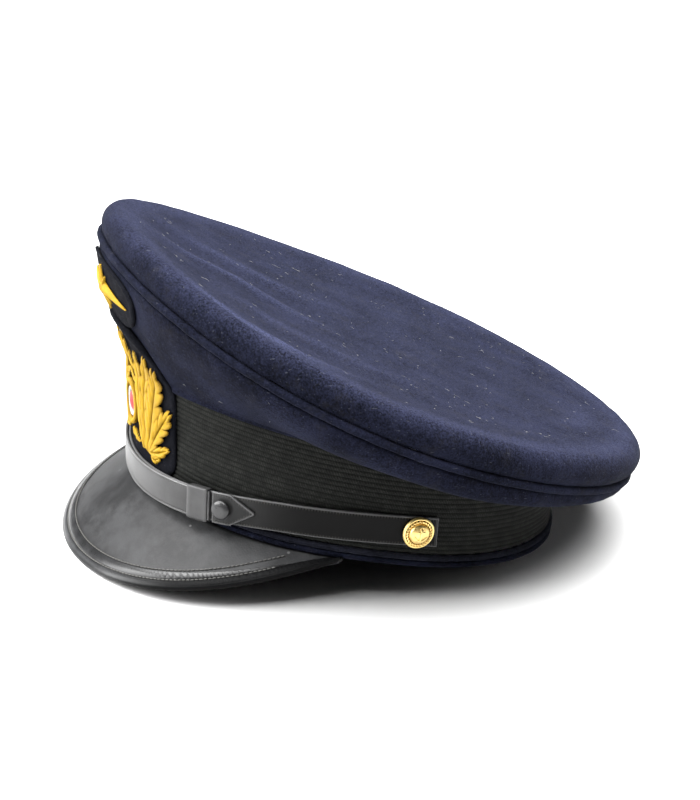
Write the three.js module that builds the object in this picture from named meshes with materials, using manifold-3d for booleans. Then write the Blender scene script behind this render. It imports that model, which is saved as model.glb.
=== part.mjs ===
// An officer's peaked visor cap, resting on the edge of its visor and the back of its band.
// Millimetres, +Z up, front towards -Y, the wearer's left towards +X.

import * as THREE from 'three';
import Module from 'manifold-3d';
import { mergeVertices } from 'three/addons/utils/BufferGeometryUtils.js';

const wasm = await Module();
wasm.setup();

// The cap is drawn level on the bottom rim of its head band, with the middle of that rim at the
// origin. A turn is an angle round the cap in degrees: 0 at the front, 90 at the wearer's left.

const SEGMENTS = 60; // facets round the cap
const GAP = 0.3; // left between pieces that touch

// Head band: an oval that widens upwards, leans forwards and is narrower in front
const BAND_HALF_WIDTH = 90.5;
const BAND_HALF_LENGTH = 97;
const BAND_FLARE = 2; // degrees
const BAND_LEAN = 10; // degrees
const BAND_NARROWING = 0.045;
const BAND_WALL = 2;
const RIM_DROP = 2.5; // how far the rim bows down between the front and the sides

// Cloth strip and roll along the bottom of the band
const STRIP_HEIGHT = 2.6;
const STRIP_OUT = 1;
const STRIP_IN = -1.6;
const ROLL_RADIUS = 1.3;
const ROLL_HEIGHT = STRIP_HEIGHT + GAP + ROLL_RADIUS;
const MOHAIR_BOTTOM = ROLL_HEIGHT + ROLL_RADIUS + GAP;

// Crown seam: an oval on a plane that rises to the front and dips at the sides
const CROWN_HALF_WIDTH = 124;
const CROWN_HALF_LENGTH = 132;
const CROWN_EGG = 0.07; // wider in front
const CROWN_RISE = 12; // degrees
const CROWN_SADDLE = 5.5;
const CROWN_DROOP = 5;
const CROWN_CENTRE = { back: -2, height: 58.3 };
const CROWN_WALL = 2;
const CROWN_ROLL = 7.5; // radius of the soft rim above the seam
const CROWN_ROLL_PROUD = 2; // how far the rim stands out over the seam
const CROWN_DISH = 2.4; // how far the top sinks inside the rim
const CROWN_CREASE = { across: 1, back: -70, slant: 0.5, height: 1.6, width: 11, length: 50 };
const PIPING_RADIUS = 1.75;
const SEAM_HALF = PIPING_RADIUS + GAP; // from the seam to the edge of the cloth each side

// Side panel: how its wall falls from the crown seam and comes in to the top of the band
const PANEL_WALL = 1.8;
const PANEL_ROWS = [
  { turn: 0, fall: 11, belly: 0, reach: 4, rise: 10, tuck: 0, lip: 46.5 },
  { turn: 45, fall: 9, belly: 1, reach: 5, rise: 4, tuck: 0, lip: 49.5 },
  { turn: 90, fall: 17, belly: 2, reach: 16, rise: -1, tuck: 2, lip: 48 },
  { turn: 135, fall: 11, belly: 1, reach: 21, rise: -1, tuck: 2, lip: 43 },
  { turn: 180, fall: 6, belly: 2, reach: 24, rise: -1, tuck: 2, lip: 41 },
];

// Visor: its edge, its leather and the rolled edging round it
const VISOR_TURN = 74; // where its ends meet the band
const VISOR_HALF_WIDTH = 88.4;
const VISOR_END_Y = -29.8;
const VISOR_REACH = 94.4;
const VISOR_DROP = 41.5;
const VISOR_ROUND = 0.78; // below 1 the edge is squarer than a circle
const VISOR_BULGE = 0.8;
const VISOR_ROOT = { drop: 4.5, out: 0.8, outInFront: -0.5 }; // where it leaves the rim
const VISOR_WALL = 2.2;
const EDGING_RADIUS = 1.2;

// Chin strap: its run over the band, and the layers, loops and tabs on it
const STRAP_HEIGHT = 13.6;
const STRAP_THICK = 1.3;
const STRAP_ROWS = [
  { turn: 0, height: 0.6, lean: 0, stand: 1.7 },
  { turn: 30, height: 4.2, lean: 3, stand: 2.8 },
  { turn: 60, height: 12.6, lean: 0, stand: 2.1 },
  { turn: 90, height: 16.8, lean: 0, stand: 0.6 },
  { turn: 120, height: 15.5, lean: 0, stand: 0.5 },
];
const STRAP_STEP = 3;
const STRAP_END = 97.4;
const STRAP_UNDER_END = 30.5; // the left half ends under the right half's loop
const STRAP_OVER_END = 39;
const OVER = STRAP_THICK + GAP; // depth at which the upper layer starts
const KEEPER = { from: 32.2, to: 38.6, thick: 0.6 };
const TAB = { from: 39.9, shoulder: 45, tip: 51.5, thick: 1.2, halfHeight: 7.2, tipHalf: 0.3 };
const STUD = { turn: 43.1, radius: 4.3, height: 2.4 };
const BUTTON = { turn: 91.8, radius: 7, height: 4.4 };

// Embroidery on the front, drawn flat: across from the middle, and up from the rim
const FRONT_RADIUS = 97; // turns a distance across the band into a turn
const PANEL_RADIUS = 112; // and one across the panel
const PATCH_THICK = 1;
const PATCH_BACK = 0.5; // clear of the curved cloth under it
const WREATH_PATCH = {
  height: 36,
  outline: [[30, 8], [39, 11], [42, 17], [42, 32], [42, 46], [37, 53], [31, 60], [24, 65.5], [12, 68]],
};
const BADGE_PATCH = {
  height: 81,
  outline: [[16, 69.8], [26, 72.5], [31, 80], [29, 87], [16, 91.2]],
};
const STAR = { long: 27, tall: 9.8, between: 8, notch: 3.4, rim: 0.8, ridge: 2.4 };
const LEAF_THICK = 1.6;
const LEAVES = [
  { name: 'low', from: [23, 14], to: [38, 21], width: 6, lobes: 2 },
  { name: 'outer', from: [23, 14.5], to: [39, 37], width: 10, lobes: 3 },
  { name: 'main', from: [21, 14], to: [32, 53], width: 14, lobes: 4 },
  { name: 'middle', from: [19, 14.5], to: [25, 57], width: 10, lobes: 4 },
  { name: 'inner', from: [17, 14], to: [15, 56], width: 8, lobes: 4 },
  { name: 'top', from: [13.5, 44], to: [3, 60], width: 6.5, lobes: 2 },
  { name: 'foot', from: [20, 14], to: [5, 17.5], width: 4.5, lobes: 2 },
];
const COCKADE_HEIGHT = 30;
const COCKADE_CORD = { radius: 9, thick: 1.2 };
const COCKADE_RING = { radius: 5.9, thick: 1.4 };
const COCKADE_DOME = { radius: 3.9, height: 3 };

const REST_PRESS = 0.85; // how far the soft edges flatten on the floor

const material = (color, roughness, metalness = 0) =>
  new THREE.MeshStandardMaterial({ color, roughness, metalness });
const navyWool = material('#1b1f3a', 0.95);
const pipingWool = material('#171a33', 0.95);
const mohair = material('#1a1a19', 0.85);
const leather = material('#1d1d1f', 0.45);
const strapLeather = material('#161617', 0.35);
const studPaint = material('#141415', 0.3);
const gilt = material('#d9a83c', 0.25, 1);
const goldThread = material('#d99a1c', 0.6);
const whiteThread = material('#e8e6e0', 0.7);
const redThread = material('#a3222a', 0.7);
const patchCloth = material('#12152b', 0.95);

const radians = THREE.MathUtils.degToRad;
const outward = (turn) => new THREE.Vector3(Math.sin(radians(turn)), -Math.cos(radians(turn)), 0);
const steps = (count, from = 0, to = 1) =>
  Array.from({ length: count + 1 }, (_, i) => from + ((to - from) * i) / count);
const roundTheCap = steps(SEGMENTS, -180, 180).slice(0, -1);

// A column of a table at any turn: a smooth curve through its rows, the same on both sides
function rowValue(rows, column, turn) {
  const last = rows.length - 1;
  const side = Math.abs(((((turn + 180) % 360) + 360) % 360) - 180);
  const place = Math.min(side / rows[1].turn, last);
  const row = Math.min(Math.floor(place), last - 1);
  const t = place - row;
  const [before, a, b, after] = [row - 1, row, row + 1, row + 2]
    .map((i) => rows[i > last ? 2 * last - i : Math.abs(i)][column]);
  return a + 0.5 * t * (b - before
    + t * (2 * before - 5 * a + 4 * b - after + t * (3 * (a - b) + after - before)));
}

// ---- Solids from points ----

// A solid from its corners and triangles, turned inside out if its faces point in
function solid(points, faces) {
  const volume = faces.reduce((sum, [a, b, c]) =>
    sum + points[a].dot(new THREE.Vector3().crossVectors(points[b], points[c])), 0);
  const geometry = new THREE.BufferGeometry();
  geometry.setAttribute('position',
    new THREE.Float32BufferAttribute(points.flatMap((point) => point.toArray()), 3));
  geometry.setIndex(faces.flatMap(([a, b, c]) => (volume > 0 ? [a, b, c] : [a, c, b])));
  geometry.computeVertexNormals();
  return geometry;
}

// The triangles between neighbouring sections, each a closed loop of the same number of points
function joinSections(sections, isRing) {
  const size = sections[0].length;
  const faces = [];
  for (let i = 0; i < (isRing ? sections.length : sections.length - 1); i += 1) {
    const here = i * size;
    const next = ((i + 1) % sections.length) * size;
    for (let j = 0; j < size; j += 1) {
      const k = (j + 1) % size;
      faces.push([here + j, here + k, next + k], [here + j, next + k, next + j]);
    }
  }
  return faces;
}

// A ring of sections that closes on itself, such as a band or a piping
function ring(sections) {
  return solid(sections.flat(), joinSections(sections, true));
}

// A run of sections with flat ends: each end is filled by rungs between its two long sides
function run(sections) {
  const size = sections[0].length;
  const faces = joinSections(sections, false);
  const last = (sections.length - 1) * size;
  for (let i = 0; i < size / 2 - 1; i += 1) {
    const [a, b, c, d] = [i, i + 1, size - 2 - i, size - 1 - i];
    faces.push([a, c, b], [a, d, c], [last + a, last + b, last + c], [last + a, last + c, last + d]);
  }
  return solid(sections.flat(), faces);
}

// A shell of rings that closes onto a middle point at both ends
function closedShell(rings, start, end) {
  const size = rings[0].length;
  const points = [...rings.flat(), start, end];
  const faces = joinSections(rings, false);
  const last = (rings.length - 1) * size;
  for (let j = 0; j < size; j += 1) {
    const k = (j + 1) % size;
    faces.push([points.length - 2, k, j], [points.length - 1, last + j, last + k]);
  }
  return solid(points, faces);
}

function toManifold(geometry) {
  const bare = geometry.clone();
  bare.deleteAttribute('normal');
  bare.deleteAttribute('uv');
  const merged = mergeVertices(bare, 1e-4);
  return new wasm.Manifold(new wasm.Mesh({
    numProp: 3,
    vertProperties: new Float32Array(merged.attributes.position.array),
    triVerts: new Uint32Array(merged.index.array),
  }));
}

function toGeometry(manifold) {
  const mesh = manifold.getMesh();
  const geometry = new THREE.BufferGeometry();
  geometry.setAttribute('position', new THREE.BufferAttribute(mesh.vertProperties, 3));
  geometry.setIndex(new THREE.BufferAttribute(mesh.triVerts, 1));
  return geometry;
}

// Bends a flat solid onto the cap: place(x, y, z) gives where each of its corners goes
function bend(geometry, place) {
  const bare = geometry.clone();
  bare.deleteAttribute('normal');
  bare.deleteAttribute('uv');
  const flat = mergeVertices(bare, 1e-4);
  const position = flat.attributes.position;
  const points = Array.from({ length: position.count }, (_, i) =>
    place(position.getX(i), position.getY(i), position.getZ(i)));
  const index = Array.from(flat.index.array);
  const faces = steps(index.length / 3 - 1, 0, index.length / 3 - 1)
    .map((i) => index.slice(3 * i, 3 * i + 3));
  return solid(points, faces);
}

// ---- Surfaces of the cap ----

const rimDrop = (turn) =>
  (Math.cos(radians(turn)) > 0 ? -RIM_DROP * Math.sin(radians(2 * turn)) ** 2 : 0);

// A point at a height on the band, some way out from its outer face
function bandPoint(turn, height, out = 0) {
  const spread = height * Math.tan(radians(BAND_FLARE)) + out;
  const cosine = Math.cos(radians(turn));
  return new THREE.Vector3(
    (BAND_HALF_WIDTH + spread) * Math.sin(radians(turn)) * (1 - BAND_NARROWING * cosine),
    -(BAND_HALF_LENGTH + spread) * cosine - height * Math.tan(radians(BAND_LEAN)),
    height,
  );
}

// A point on the band near its rim, which bows down beside the front
const rimPoint = (turn, height, out = 0) => {
  const point = bandPoint(turn, height, out);
  point.z += rimDrop(turn);
  return point;
};

// A point in the crown's own plane, across and back from its middle, raised above the seam
function crownPlanePoint(across, back, lift) {
  const length = back / CROWN_HALF_LENGTH;
  const point = new THREE.Vector3(across, back,
    lift + CROWN_SADDLE * length ** 2 - CROWN_DROOP * length ** 3);
  point.applyAxisAngle(new THREE.Vector3(1, 0, 0), -radians(CROWN_RISE));
  return point.add(new THREE.Vector3(0, CROWN_CENTRE.back, CROWN_CENTRE.height));
}

const crownAcross = (turn, inset) => (CROWN_HALF_WIDTH - inset) * Math.sin(radians(turn))
  * (1 + CROWN_EGG * Math.cos(radians(turn)));
const crownBack = (turn, inset) => -(CROWN_HALF_LENGTH - inset) * Math.cos(radians(turn));

// A point round the crown seam, moved in towards the middle and up
const crownPoint = (turn, inset, lift) =>
  crownPlanePoint(crownAcross(turn, inset), crownBack(turn, inset), lift);

// The side panel's outer profile, from under the crown seam to the top of the band
function panelProfile(turn) {
  const value = (column) => rowValue(PANEL_ROWS, column, turn);
  const start = crownPoint(turn, GAP, -SEAM_HALF);
  const end = bandPoint(turn, value('lip'), -value('tuck'));
  const out = outward(turn);
  return new THREE.CubicBezierCurve3(
    start,
    start.clone().addScaledVector(out, value('belly')).setZ(start.z - value('fall')),
    end.clone().addScaledVector(out, value('reach')).setZ(end.z + value('rise')),
    end,
  );
}

// The inside of the panel's wall, square to its profile
function panelInside(turn, t) {
  const profile = panelProfile(turn);
  const along = new THREE.Vector3(Math.cos(radians(turn)), Math.sin(radians(turn)), 0);
  const normal = profile.getTangent(t).cross(along).normalize();
  return profile.getPoint(t).addScaledVector(normal, -PANEL_WALL);
}

// The cap's front at a height above the rim: the band, and the panel above it
function frontFace(turn, height) {
  if (height <= rowValue(PANEL_ROWS, 'lip', turn)) {
    return bandPoint(turn, height);
  }
  const profile = panelProfile(turn);
  let [low, high] = [0, 1];
  for (let i = 0; i < 20; i += 1) {
    const middle = (low + high) / 2;
    [low, high] = profile.getPoint(middle).z > height ? [middle, high] : [low, middle];
  }
  return profile.getPoint(low);
}

// A place on the front drawn flat: across, up, and away from the cloth
function frontPlace(radius) {
  const reach = 3; // half the distance over which the slope is taken
  return (across, height, away) => {
    const at = (dx, dz) => frontFace(THREE.MathUtils.radToDeg((across + dx) / radius), height + dz);
    const side = at(reach, 0).sub(at(-reach, 0));
    const normal = side.cross(at(0, reach).sub(at(0, -reach))).normalize();
    return at(0, 0).addScaledVector(normal, away);
  };
}

// ---- Resting place ----

// The cap tips back until its visor edging and the back of its rim stand on the floor
const edgingFront = visorEdging(0, EDGING_RADIUS);
const rimBack = rimPoint(180, 0, STRIP_OUT / 2);
const span = edgingFront.clone().sub(rimBack);
const tilt = Math.asin(EDGING_RADIUS / Math.hypot(span.y, span.z)) - Math.atan2(span.z, -span.y);
const tipped = new THREE.Matrix4().makeRotationX(-tilt);
const rimBackHeight = rimBack.clone().applyMatrix4(tipped).z;
const resting = new THREE.Matrix4().makeTranslation(0, 0, -rimBackHeight - REST_PRESS)
  .multiply(tipped);
const raising = resting.clone().invert();

// Flattens what would reach below the floor
function settle(point) {
  const rested = point.clone().applyMatrix4(resting);
  rested.z = Math.max(rested.z, 0);
  return rested.applyMatrix4(raising);
}

// ---- Crown ----

// The top of the crown: dished inside the rim, with one long soft crease in front
function crownLift(across, back, inset) {
  const inside = THREE.MathUtils.smoothstep(inset, CROWN_ROLL - CROWN_ROLL_PROUD, 40);
  const crease = CROWN_CREASE;
  const aside = (across - crease.across - crease.slant * (back - crease.back)) / crease.width;
  const ahead = (back - crease.back) / crease.length;
  return CROWN_ROLL * 2 - CROWN_DISH * inside
    + crease.height * inside * Math.exp(-(aside ** 2) - ahead ** 2);
}

function crownTop() {
  const foot = -THREE.MathUtils.radToDeg(Math.asin(1 - SEAM_HALF / CROWN_ROLL));
  const rollRing = (degrees, radius) => roundTheCap.map((turn) => crownPoint(turn,
    CROWN_ROLL - CROWN_ROLL_PROUD - radius * Math.cos(radians(degrees)),
    CROWN_ROLL + radius * Math.sin(radians(degrees))));
  const topRing = (inset, under) => roundTheCap.map((turn) => {
    const across = crownAcross(turn, inset);
    const back = crownBack(turn, inset);
    return crownPlanePoint(across, back, crownLift(across, back, inset) - under);
  });
  const middle = (under) => crownPlanePoint(0, 0, crownLift(0, 0, CROWN_HALF_WIDTH) - under);
  const inner = CROWN_ROLL - CROWN_WALL;
  const rings = [
    ...[95, 66, 42, 24, 13].map((inset) => topRing(inset, 0)),
    ...[90, 50, 15, -17, foot].map((degrees) => rollRing(degrees, CROWN_ROLL)),
    ...[foot - 12, 15, 70].map((degrees) => rollRing(degrees, inner)),
    ...[24, 66].map((inset) => topRing(inset, CROWN_WALL)),
  ];
  return closedShell(rings, middle(0), middle(CROWN_WALL));
}

// A cord in a cloth sleeve: round outside, with the sleeve's tail running into the seam
function pipingSection(radius, tail, angles) {
  const roundSide = angles
    .map((degrees) => [radius * Math.cos(radians(degrees)), radius * Math.sin(radians(degrees))]);
  return [...roundSide, [-radius - tail, -0.4], [-radius - tail, 0.4]];
}

const crownPiping = () => ring(roundTheCap.map((turn) =>
  pipingSection(PIPING_RADIUS, 2.5, [110, 55, 0, -55, -110]).map(([out, up]) =>
    crownPoint(turn, -out, up))));

const sidePanel = () => ring(roundTheCap.map((turn) => {
  const profile = panelProfile(turn);
  return [
    ...[0, 0.15, 0.32, 0.5, 0.68, 0.85, 1].map((t) => profile.getPoint(t)),
    ...[1, 0.8, 0.55, 0.28, 0].map((t) => panelInside(turn, t)),
  ];
}));

// ---- Head band ----

const mohairBand = () => ring(roundTheCap.map((turn) => {
  const top = rowValue(PANEL_ROWS, 'lip', turn) - GAP - 0.1;
  return [
    rimPoint(turn, MOHAIR_BOTTOM),
    bandPoint(turn, top),
    bandPoint(turn, top, -BAND_WALL),
    rimPoint(turn, MOHAIR_BOTTOM, -BAND_WALL),
  ];
}));

const lowerPiping = () => ring(roundTheCap.map((turn) =>
  pipingSection(ROLL_RADIUS, 0.8, [105, 35, -35, -105]).map(([out, up]) =>
    rimPoint(turn, ROLL_HEIGHT + up, out - 0.1))));

const baseStrip = () => ring(roundTheCap.map((turn) => [
  rimPoint(turn, STRIP_HEIGHT, STRIP_OUT - 0.2),
  rimPoint(turn, STRIP_HEIGHT / 2, STRIP_OUT),
  rimPoint(turn, 0, STRIP_OUT / 2),
  rimPoint(turn, 0, STRIP_IN),
  rimPoint(turn, STRIP_HEIGHT, STRIP_IN),
].map(settle)));

// ---- Visor ----

// One line across the visor from the band to its edge, at side -1 to 1
function visorLine(side) {
  const angle = side * (Math.PI / 2);
  const ahead = Math.cos(angle) ** 2;
  const inner = rimPoint(side * VISOR_TURN, -GAP - VISOR_ROOT.drop * ahead,
    THREE.MathUtils.lerp(VISOR_ROOT.out, VISOR_ROOT.outInFront, ahead));
  const forward = Math.abs(Math.cos(angle)) ** VISOR_ROUND;
  const edge = new THREE.Vector3(VISOR_HALF_WIDTH * Math.sin(angle),
    VISOR_END_Y - VISOR_REACH * forward, 0.9 - VISOR_DROP * forward);
  const chord = edge.clone().sub(inner);
  const length = chord.length();
  chord.normalize();
  const up = new THREE.Vector3(0, 0, 1);
  const normal = up.addScaledVector(chord, -up.dot(chord)).normalize();
  return { inner, chord, length, normal, bulge: VISOR_BULGE * Math.cos(angle) };
}

// A point on the visor's upper face, some way along its line
function visorPoint(line, distance) {
  const arch = line.bulge * Math.sin(Math.PI * (distance / line.length));
  return line.inner.clone().addScaledVector(line.chord, distance).addScaledVector(line.normal, arch);
}

// The middle of the rolled edging
function visorEdging(side, inset) {
  const line = visorLine(side);
  return visorPoint(line, line.length - inset).addScaledVector(line.normal, -EDGING_RADIUS / 2);
}

// The lines of the leather, which stops just short of where its edging meets the band
const visorSides = steps(30, -0.985, 0.985);

function visor() {
  const margin = 2 * EDGING_RADIUS + GAP;
  return run(visorSides.map((side) => {
    const line = visorLine(side);
    const flange = rimPoint(side * VISOR_TURN, -GAP, STRIP_IN);
    const face = [0, 0.12, 0.3, 0.5, 0.7, 0.86, 1]
      .map((part) => visorPoint(line, part * (line.length - margin)));
    const back = face.map((point) => point.clone().addScaledVector(line.normal, -VISOR_WALL));
    const flangeBack = flange.clone().setZ(flange.z - 1.6);
    return [flange, ...face, ...back.reverse(), flangeBack];
  }));
}

const visorBinding = () => run([-1, ...visorSides, 1].map((side) => {
  const line = visorLine(side);
  const centre = visorEdging(side, EDGING_RADIUS);
  return [30, 90, 150, 210, 270, 330].map((degrees) => settle(centre.clone()
    .addScaledVector(line.chord, EDGING_RADIUS * Math.cos(radians(degrees)))
    .addScaledVector(line.normal, EDGING_RADIUS * Math.sin(radians(degrees)))));
}));

// ---- Chin strap ----

// A point on the strap: up or down from its middle line, and some depth out from its back face
function strapPoint(turn, up, depth) {
  const value = (column) => rowValue(STRAP_ROWS, column, turn);
  const lean = radians(value('lean'));
  const out = value('stand') + depth * Math.cos(lean) - up * Math.sin(lean);
  return bandPoint(turn, value('height') + up * Math.cos(lean) + depth * Math.sin(lean), out);
}

// One half of the strap, with the depth of its back face at each turn
const strapRun = (from, to, depthAt) => run(
  steps(Math.round((to - from) / STRAP_STEP), from, to).map((turn) => {
    const half = STRAP_HEIGHT / 2;
    const back = depthAt(turn);
    return [[half, 0], [half, STRAP_THICK], [-half, STRAP_THICK], [-half, 0]]
      .map(([up, depth]) => strapPoint(turn, up, back + depth));
  }));

const strapLeft = () => strapRun(-STRAP_UNDER_END, STRAP_END, () => 0);

// The right half steps up onto the left half inside its keeper
const strapRight = () => strapRun(-STRAP_END, STRAP_OVER_END, (turn) =>
  OVER * THREE.MathUtils.smoothstep(turn, -TAB.from, -KEEPER.from));

const strapLength = FRONT_RADIUS * radians(1); // of one degree of turn along the strap

function keeper(sign) {
  const { from, to, thick } = KEEPER;
  const half = STRAP_HEIGHT / 2 + GAP;
  const inside = 2 * STRAP_THICK + 3 * GAP;
  const rectangle = (path, margin) => path
    .moveTo(-half - margin, -GAP - margin)
    .lineTo(half + margin, -GAP - margin)
    .lineTo(half + margin, inside - GAP + margin)
    .lineTo(-half - margin, inside - GAP + margin)
    .closePath();
  const shape = rectangle(new THREE.Shape(), thick);
  shape.holes.push(rectangle(new THREE.Path(), 0));
  const loop = new THREE.ExtrudeGeometry(shape,
    { depth: (to - from) * strapLength, steps: 2, bevelEnabled: false });
  return bend(loop, (up, depth, along) => strapPoint(sign * (from + along / strapLength), up, depth));
}

// The arrow-tipped tab: straight to its shoulder, then narrowing to the tip
function tab(sign) {
  const { from, shoulder, tip, thick, halfHeight, tipHalf } = TAB;
  return run([...steps(3, from, shoulder), ...steps(3, shoulder, tip).slice(1)].map((turn) => {
    const narrowing = Math.max(0, (turn - shoulder) / (tip - shoulder));
    const half = THREE.MathUtils.lerp(halfHeight, tipHalf, narrowing);
    return [[half, 0], [half, thick], [-half, thick], [-half, 0]]
      .map(([up, depth]) => strapPoint(sign * turn, up, OVER + depth));
  }));
}

// Turns a round piece drawn along +Z to face out of the strap at a turn
function faceOut(geometry, turn, depth) {
  const out = outward(turn);
  const base = strapPoint(turn, 0, depth);
  const across = new THREE.Vector3(Math.cos(radians(turn)), Math.sin(radians(turn)), 0);
  const frame = new THREE.Matrix4().makeBasis(across, new THREE.Vector3(0, 0, 1), out)
    .setPosition(base);
  return bend(geometry, (x, y, z) => new THREE.Vector3(x, y, z).applyMatrix4(frame));
}

// A solid turned round +Z from a profile of [radius, height], which starts and ends on the axis
const turned = (profile, segments) => new THREE.LatheGeometry(
  profile.map(([radius, height]) => new THREE.Vector2(radius, height)), segments)
  .rotateX(Math.PI / 2);

function stud(sign) {
  const { radius, height, turn } = STUD;
  const profile = [[0, 0], [radius, 0], [radius, 0.3 * height], [0.8 * radius, 0.7 * height],
    [0.4 * radius, 0.95 * height], [0, height]];
  return faceOut(turned(profile, 12), sign * turn, OVER + TAB.thick + 3 * GAP);
}

// The dome inside a button's rim, raised by a margin
function buttonDome(margin) {
  const { radius, height } = BUTTON;
  return [0.7, 0.35].map((part) =>
    [part * radius, 1.2 + (height - 1.2) * Math.cos(part * (Math.PI / 2)) + margin]);
}

// A plain anchor outline: ring, stock, shank and curved arms
function anchorShapes() {
  const bar = (x0, y0, x1, y1) => new THREE.Shape([
    new THREE.Vector2(x0, y0), new THREE.Vector2(x1, y0),
    new THREE.Vector2(x1, y1), new THREE.Vector2(x0, y1)]);
  const arms = new THREE.Shape();
  arms.absarc(0, 0.2, 3.1, Math.PI * 1.1, Math.PI * 1.9, false);
  arms.absarc(0, 0.2, 2.2, Math.PI * 1.85, Math.PI * 1.15, true);
  const eye = new THREE.Shape();
  eye.absarc(0, 3.1, 0.9, 0, Math.PI * 2, false);
  return [bar(-0.4, -2.6, 0.4, 2.6), bar(-1.8, 1.2, 1.8, 1.9), arms, eye];
}

function button(sign) {
  const { radius, turn } = BUTTON;
  const rim = [[0, 0], [0.92 * radius, 0], [radius, 0.6], [radius, 1.4], [0.9 * radius, 1.9],
    [0.82 * radius, 1.5]];
  const topOf = (margin) => [[0, BUTTON.height + margin]];
  const body = toManifold(turned([...rim, ...buttonDome(0), ...topOf(0)], 16));
  const shell = toManifold(turned([[0, 0], [0.7 * radius, 0], ...buttonDome(0.35), ...topOf(0.35)], 8));
  const relief = anchorShapes()
    .map((shape) => toManifold(new THREE.ExtrudeGeometry(shape,
      { depth: BUTTON.height + 1, curveSegments: 3, bevelEnabled: false })))
    .reduce((sum, part) => sum.add(part))
    .intersect(shell);
  return faceOut(toGeometry(body.add(relief)), sign * turn, STRAP_THICK + GAP);
}

// ---- Embroidery ----

// A cloth patch bent over the front: a smooth outline through the places on one half of it
function patch({ height, outline }, radius) {
  const place = frontPlace(radius);
  const half = outline.map(([across, up]) => new THREE.Vector3(across, up - height, 0));
  const other = half.map((point) => point.clone().setX(-point.x)).reverse();
  const curve = new THREE.CatmullRomCurve3([...half, ...other], true);
  const corners = curve.getSpacedPoints(28).slice(0, -1);
  const loop = (part, away) => corners.map(({ x, y }) => place(part * x, height + part * y, away));
  const rings = [
    ...[0.3, 0.55, 0.8, 1].map((part) => loop(part, PATCH_BACK + PATCH_THICK)),
    ...[1, 0.8, 0.55, 0.3].map((part) => loop(part, PATCH_BACK)),
  ];
  return closedShell(rings, place(0, height, PATCH_BACK + PATCH_THICK),
    place(0, height, PATCH_BACK));
}

const onPatch = PATCH_BACK + PATCH_THICK + 0.6; // height of the back of the embroidery

// The outline of one lobed leaf, from its foot to its tip
function leafShape({ from, to, width, lobes }) {
  const foot = new THREE.Vector2(...from);
  const axis = new THREE.Vector2(...to).sub(foot);
  const aside = new THREE.Vector2(-axis.y, axis.x).normalize();
  const edge = (part, side) => {
    const swell = Math.sin(Math.PI * Math.min(0.12 + 0.82 * part, 0.96)) ** 0.7;
    const lobe = 0.82 + 0.18 * Math.cos(2 * Math.PI * lobes * part);
    return foot.clone().addScaledVector(axis, part)
      .addScaledVector(aside, side * (width / 2) * swell * lobe);
  };
  const parts = steps(2 * lobes, 0, 0.94);
  return new THREE.Shape([
    ...parts.map((part) => edge(part, 1)),
    foot.clone().add(axis),
    ...parts.reverse().map((part) => edge(part, -1)),
  ]);
}

function wreath(sign) {
  const spray = LEAVES.map((leaf) => toManifold(new THREE.ExtrudeGeometry(leafShape(leaf),
    { depth: LEAF_THICK, bevelEnabled: false }))).reduce((sum, leaf) => sum.add(leaf));
  const place = frontPlace(FRONT_RADIUS);
  return bend(toGeometry(spray), (across, up, away) => place(sign * across, up, onPatch + away));
}

// A cord laid in a circle on the patch
function cockadeCircle({ radius, thick }, sides, segments) {
  const place = frontPlace(FRONT_RADIUS);
  return bend(new THREE.TorusGeometry(radius, thick, sides, segments), (across, up, away) =>
    place(across, COCKADE_HEIGHT + up, onPatch + thick + away));
}

function cockadeDome() {
  const { radius, height } = COCKADE_DOME;
  const place = frontPlace(FRONT_RADIUS);
  const profile = [[0, 0], [radius, 0], [0.94 * radius, 0.4 * height],
    [0.65 * radius, 0.8 * height], [0, height]];
  return bend(turned(profile, 16), (across, up, away) =>
    place(across, COCKADE_HEIGHT + up, onPatch + away));
}

// A star of eight points, ridged from its middle to each of them
function badgeStar() {
  const place = frontPlace(PANEL_RADIUS);
  const outline = steps(16, 0, 2 * Math.PI).slice(0, -1).map((angle, i) => {
    const reach = { 0: [STAR.long, STAR.tall], 2: [STAR.between, STAR.between] }[i % 4]
      ?? [STAR.notch, STAR.notch];
    return [reach[0] * Math.cos(angle), reach[1] * Math.sin(angle)];
  });
  const loop = (part, away) => outline.map(([x, y]) =>
    place(part * x, BADGE_PATCH.height + part * y, onPatch + away));
  const parts = [0.35, 0.7, 1];
  const upper = parts.map((part) => loop(part, THREE.MathUtils.lerp(STAR.ridge, STAR.rim, part)));
  const lower = parts.reverse().map((part) => loop(part, 0));
  return closedShell([...upper, ...lower],
    place(0, BADGE_PATCH.height, onPatch + STAR.ridge), place(0, BADGE_PATCH.height, onPatch));
}

// ---- Assembly ----

const cap = new THREE.Group();
cap.name = 'visor_cap';
const level = new THREE.Group();
cap.add(level);

function add(name, geometry, finish) {
  const mesh = new THREE.Mesh(geometry, finish);
  mesh.name = name;
  level.add(mesh);
}

add('crown_top', crownTop(), navyWool);
add('crown_piping', crownPiping(), pipingWool);
add('side_panel', sidePanel(), navyWool);
add('mohair_band', mohairBand(), mohair);
add('lower_piping', lowerPiping(), pipingWool);
add('base_strip', baseStrip(), navyWool);
add('visor', visor(), leather);
add('visor_binding', visorBinding(), leather);
add('strap_left', strapLeft(), strapLeather);
add('strap_right', strapRight(), strapLeather);
for (const [side, sign] of [['left', 1], ['right', -1]]) {
  add(`keeper_${side}`, keeper(sign), strapLeather);
  add(`tab_${side}`, tab(sign), strapLeather);
  add(`stud_${side}`, stud(sign), studPaint);
  add(`button_${side}`, button(sign), gilt);
  add(`wreath_${side}`, wreath(sign), goldThread);
}
add('wreath_patch', patch(WREATH_PATCH, FRONT_RADIUS), patchCloth);
add('cockade_cord', cockadeCircle(COCKADE_CORD, 6, 20), goldThread);
add('cockade_ring', cockadeCircle(COCKADE_RING, 6, 16), whiteThread);
add('cockade_dome', cockadeDome(), redThread);
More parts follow.
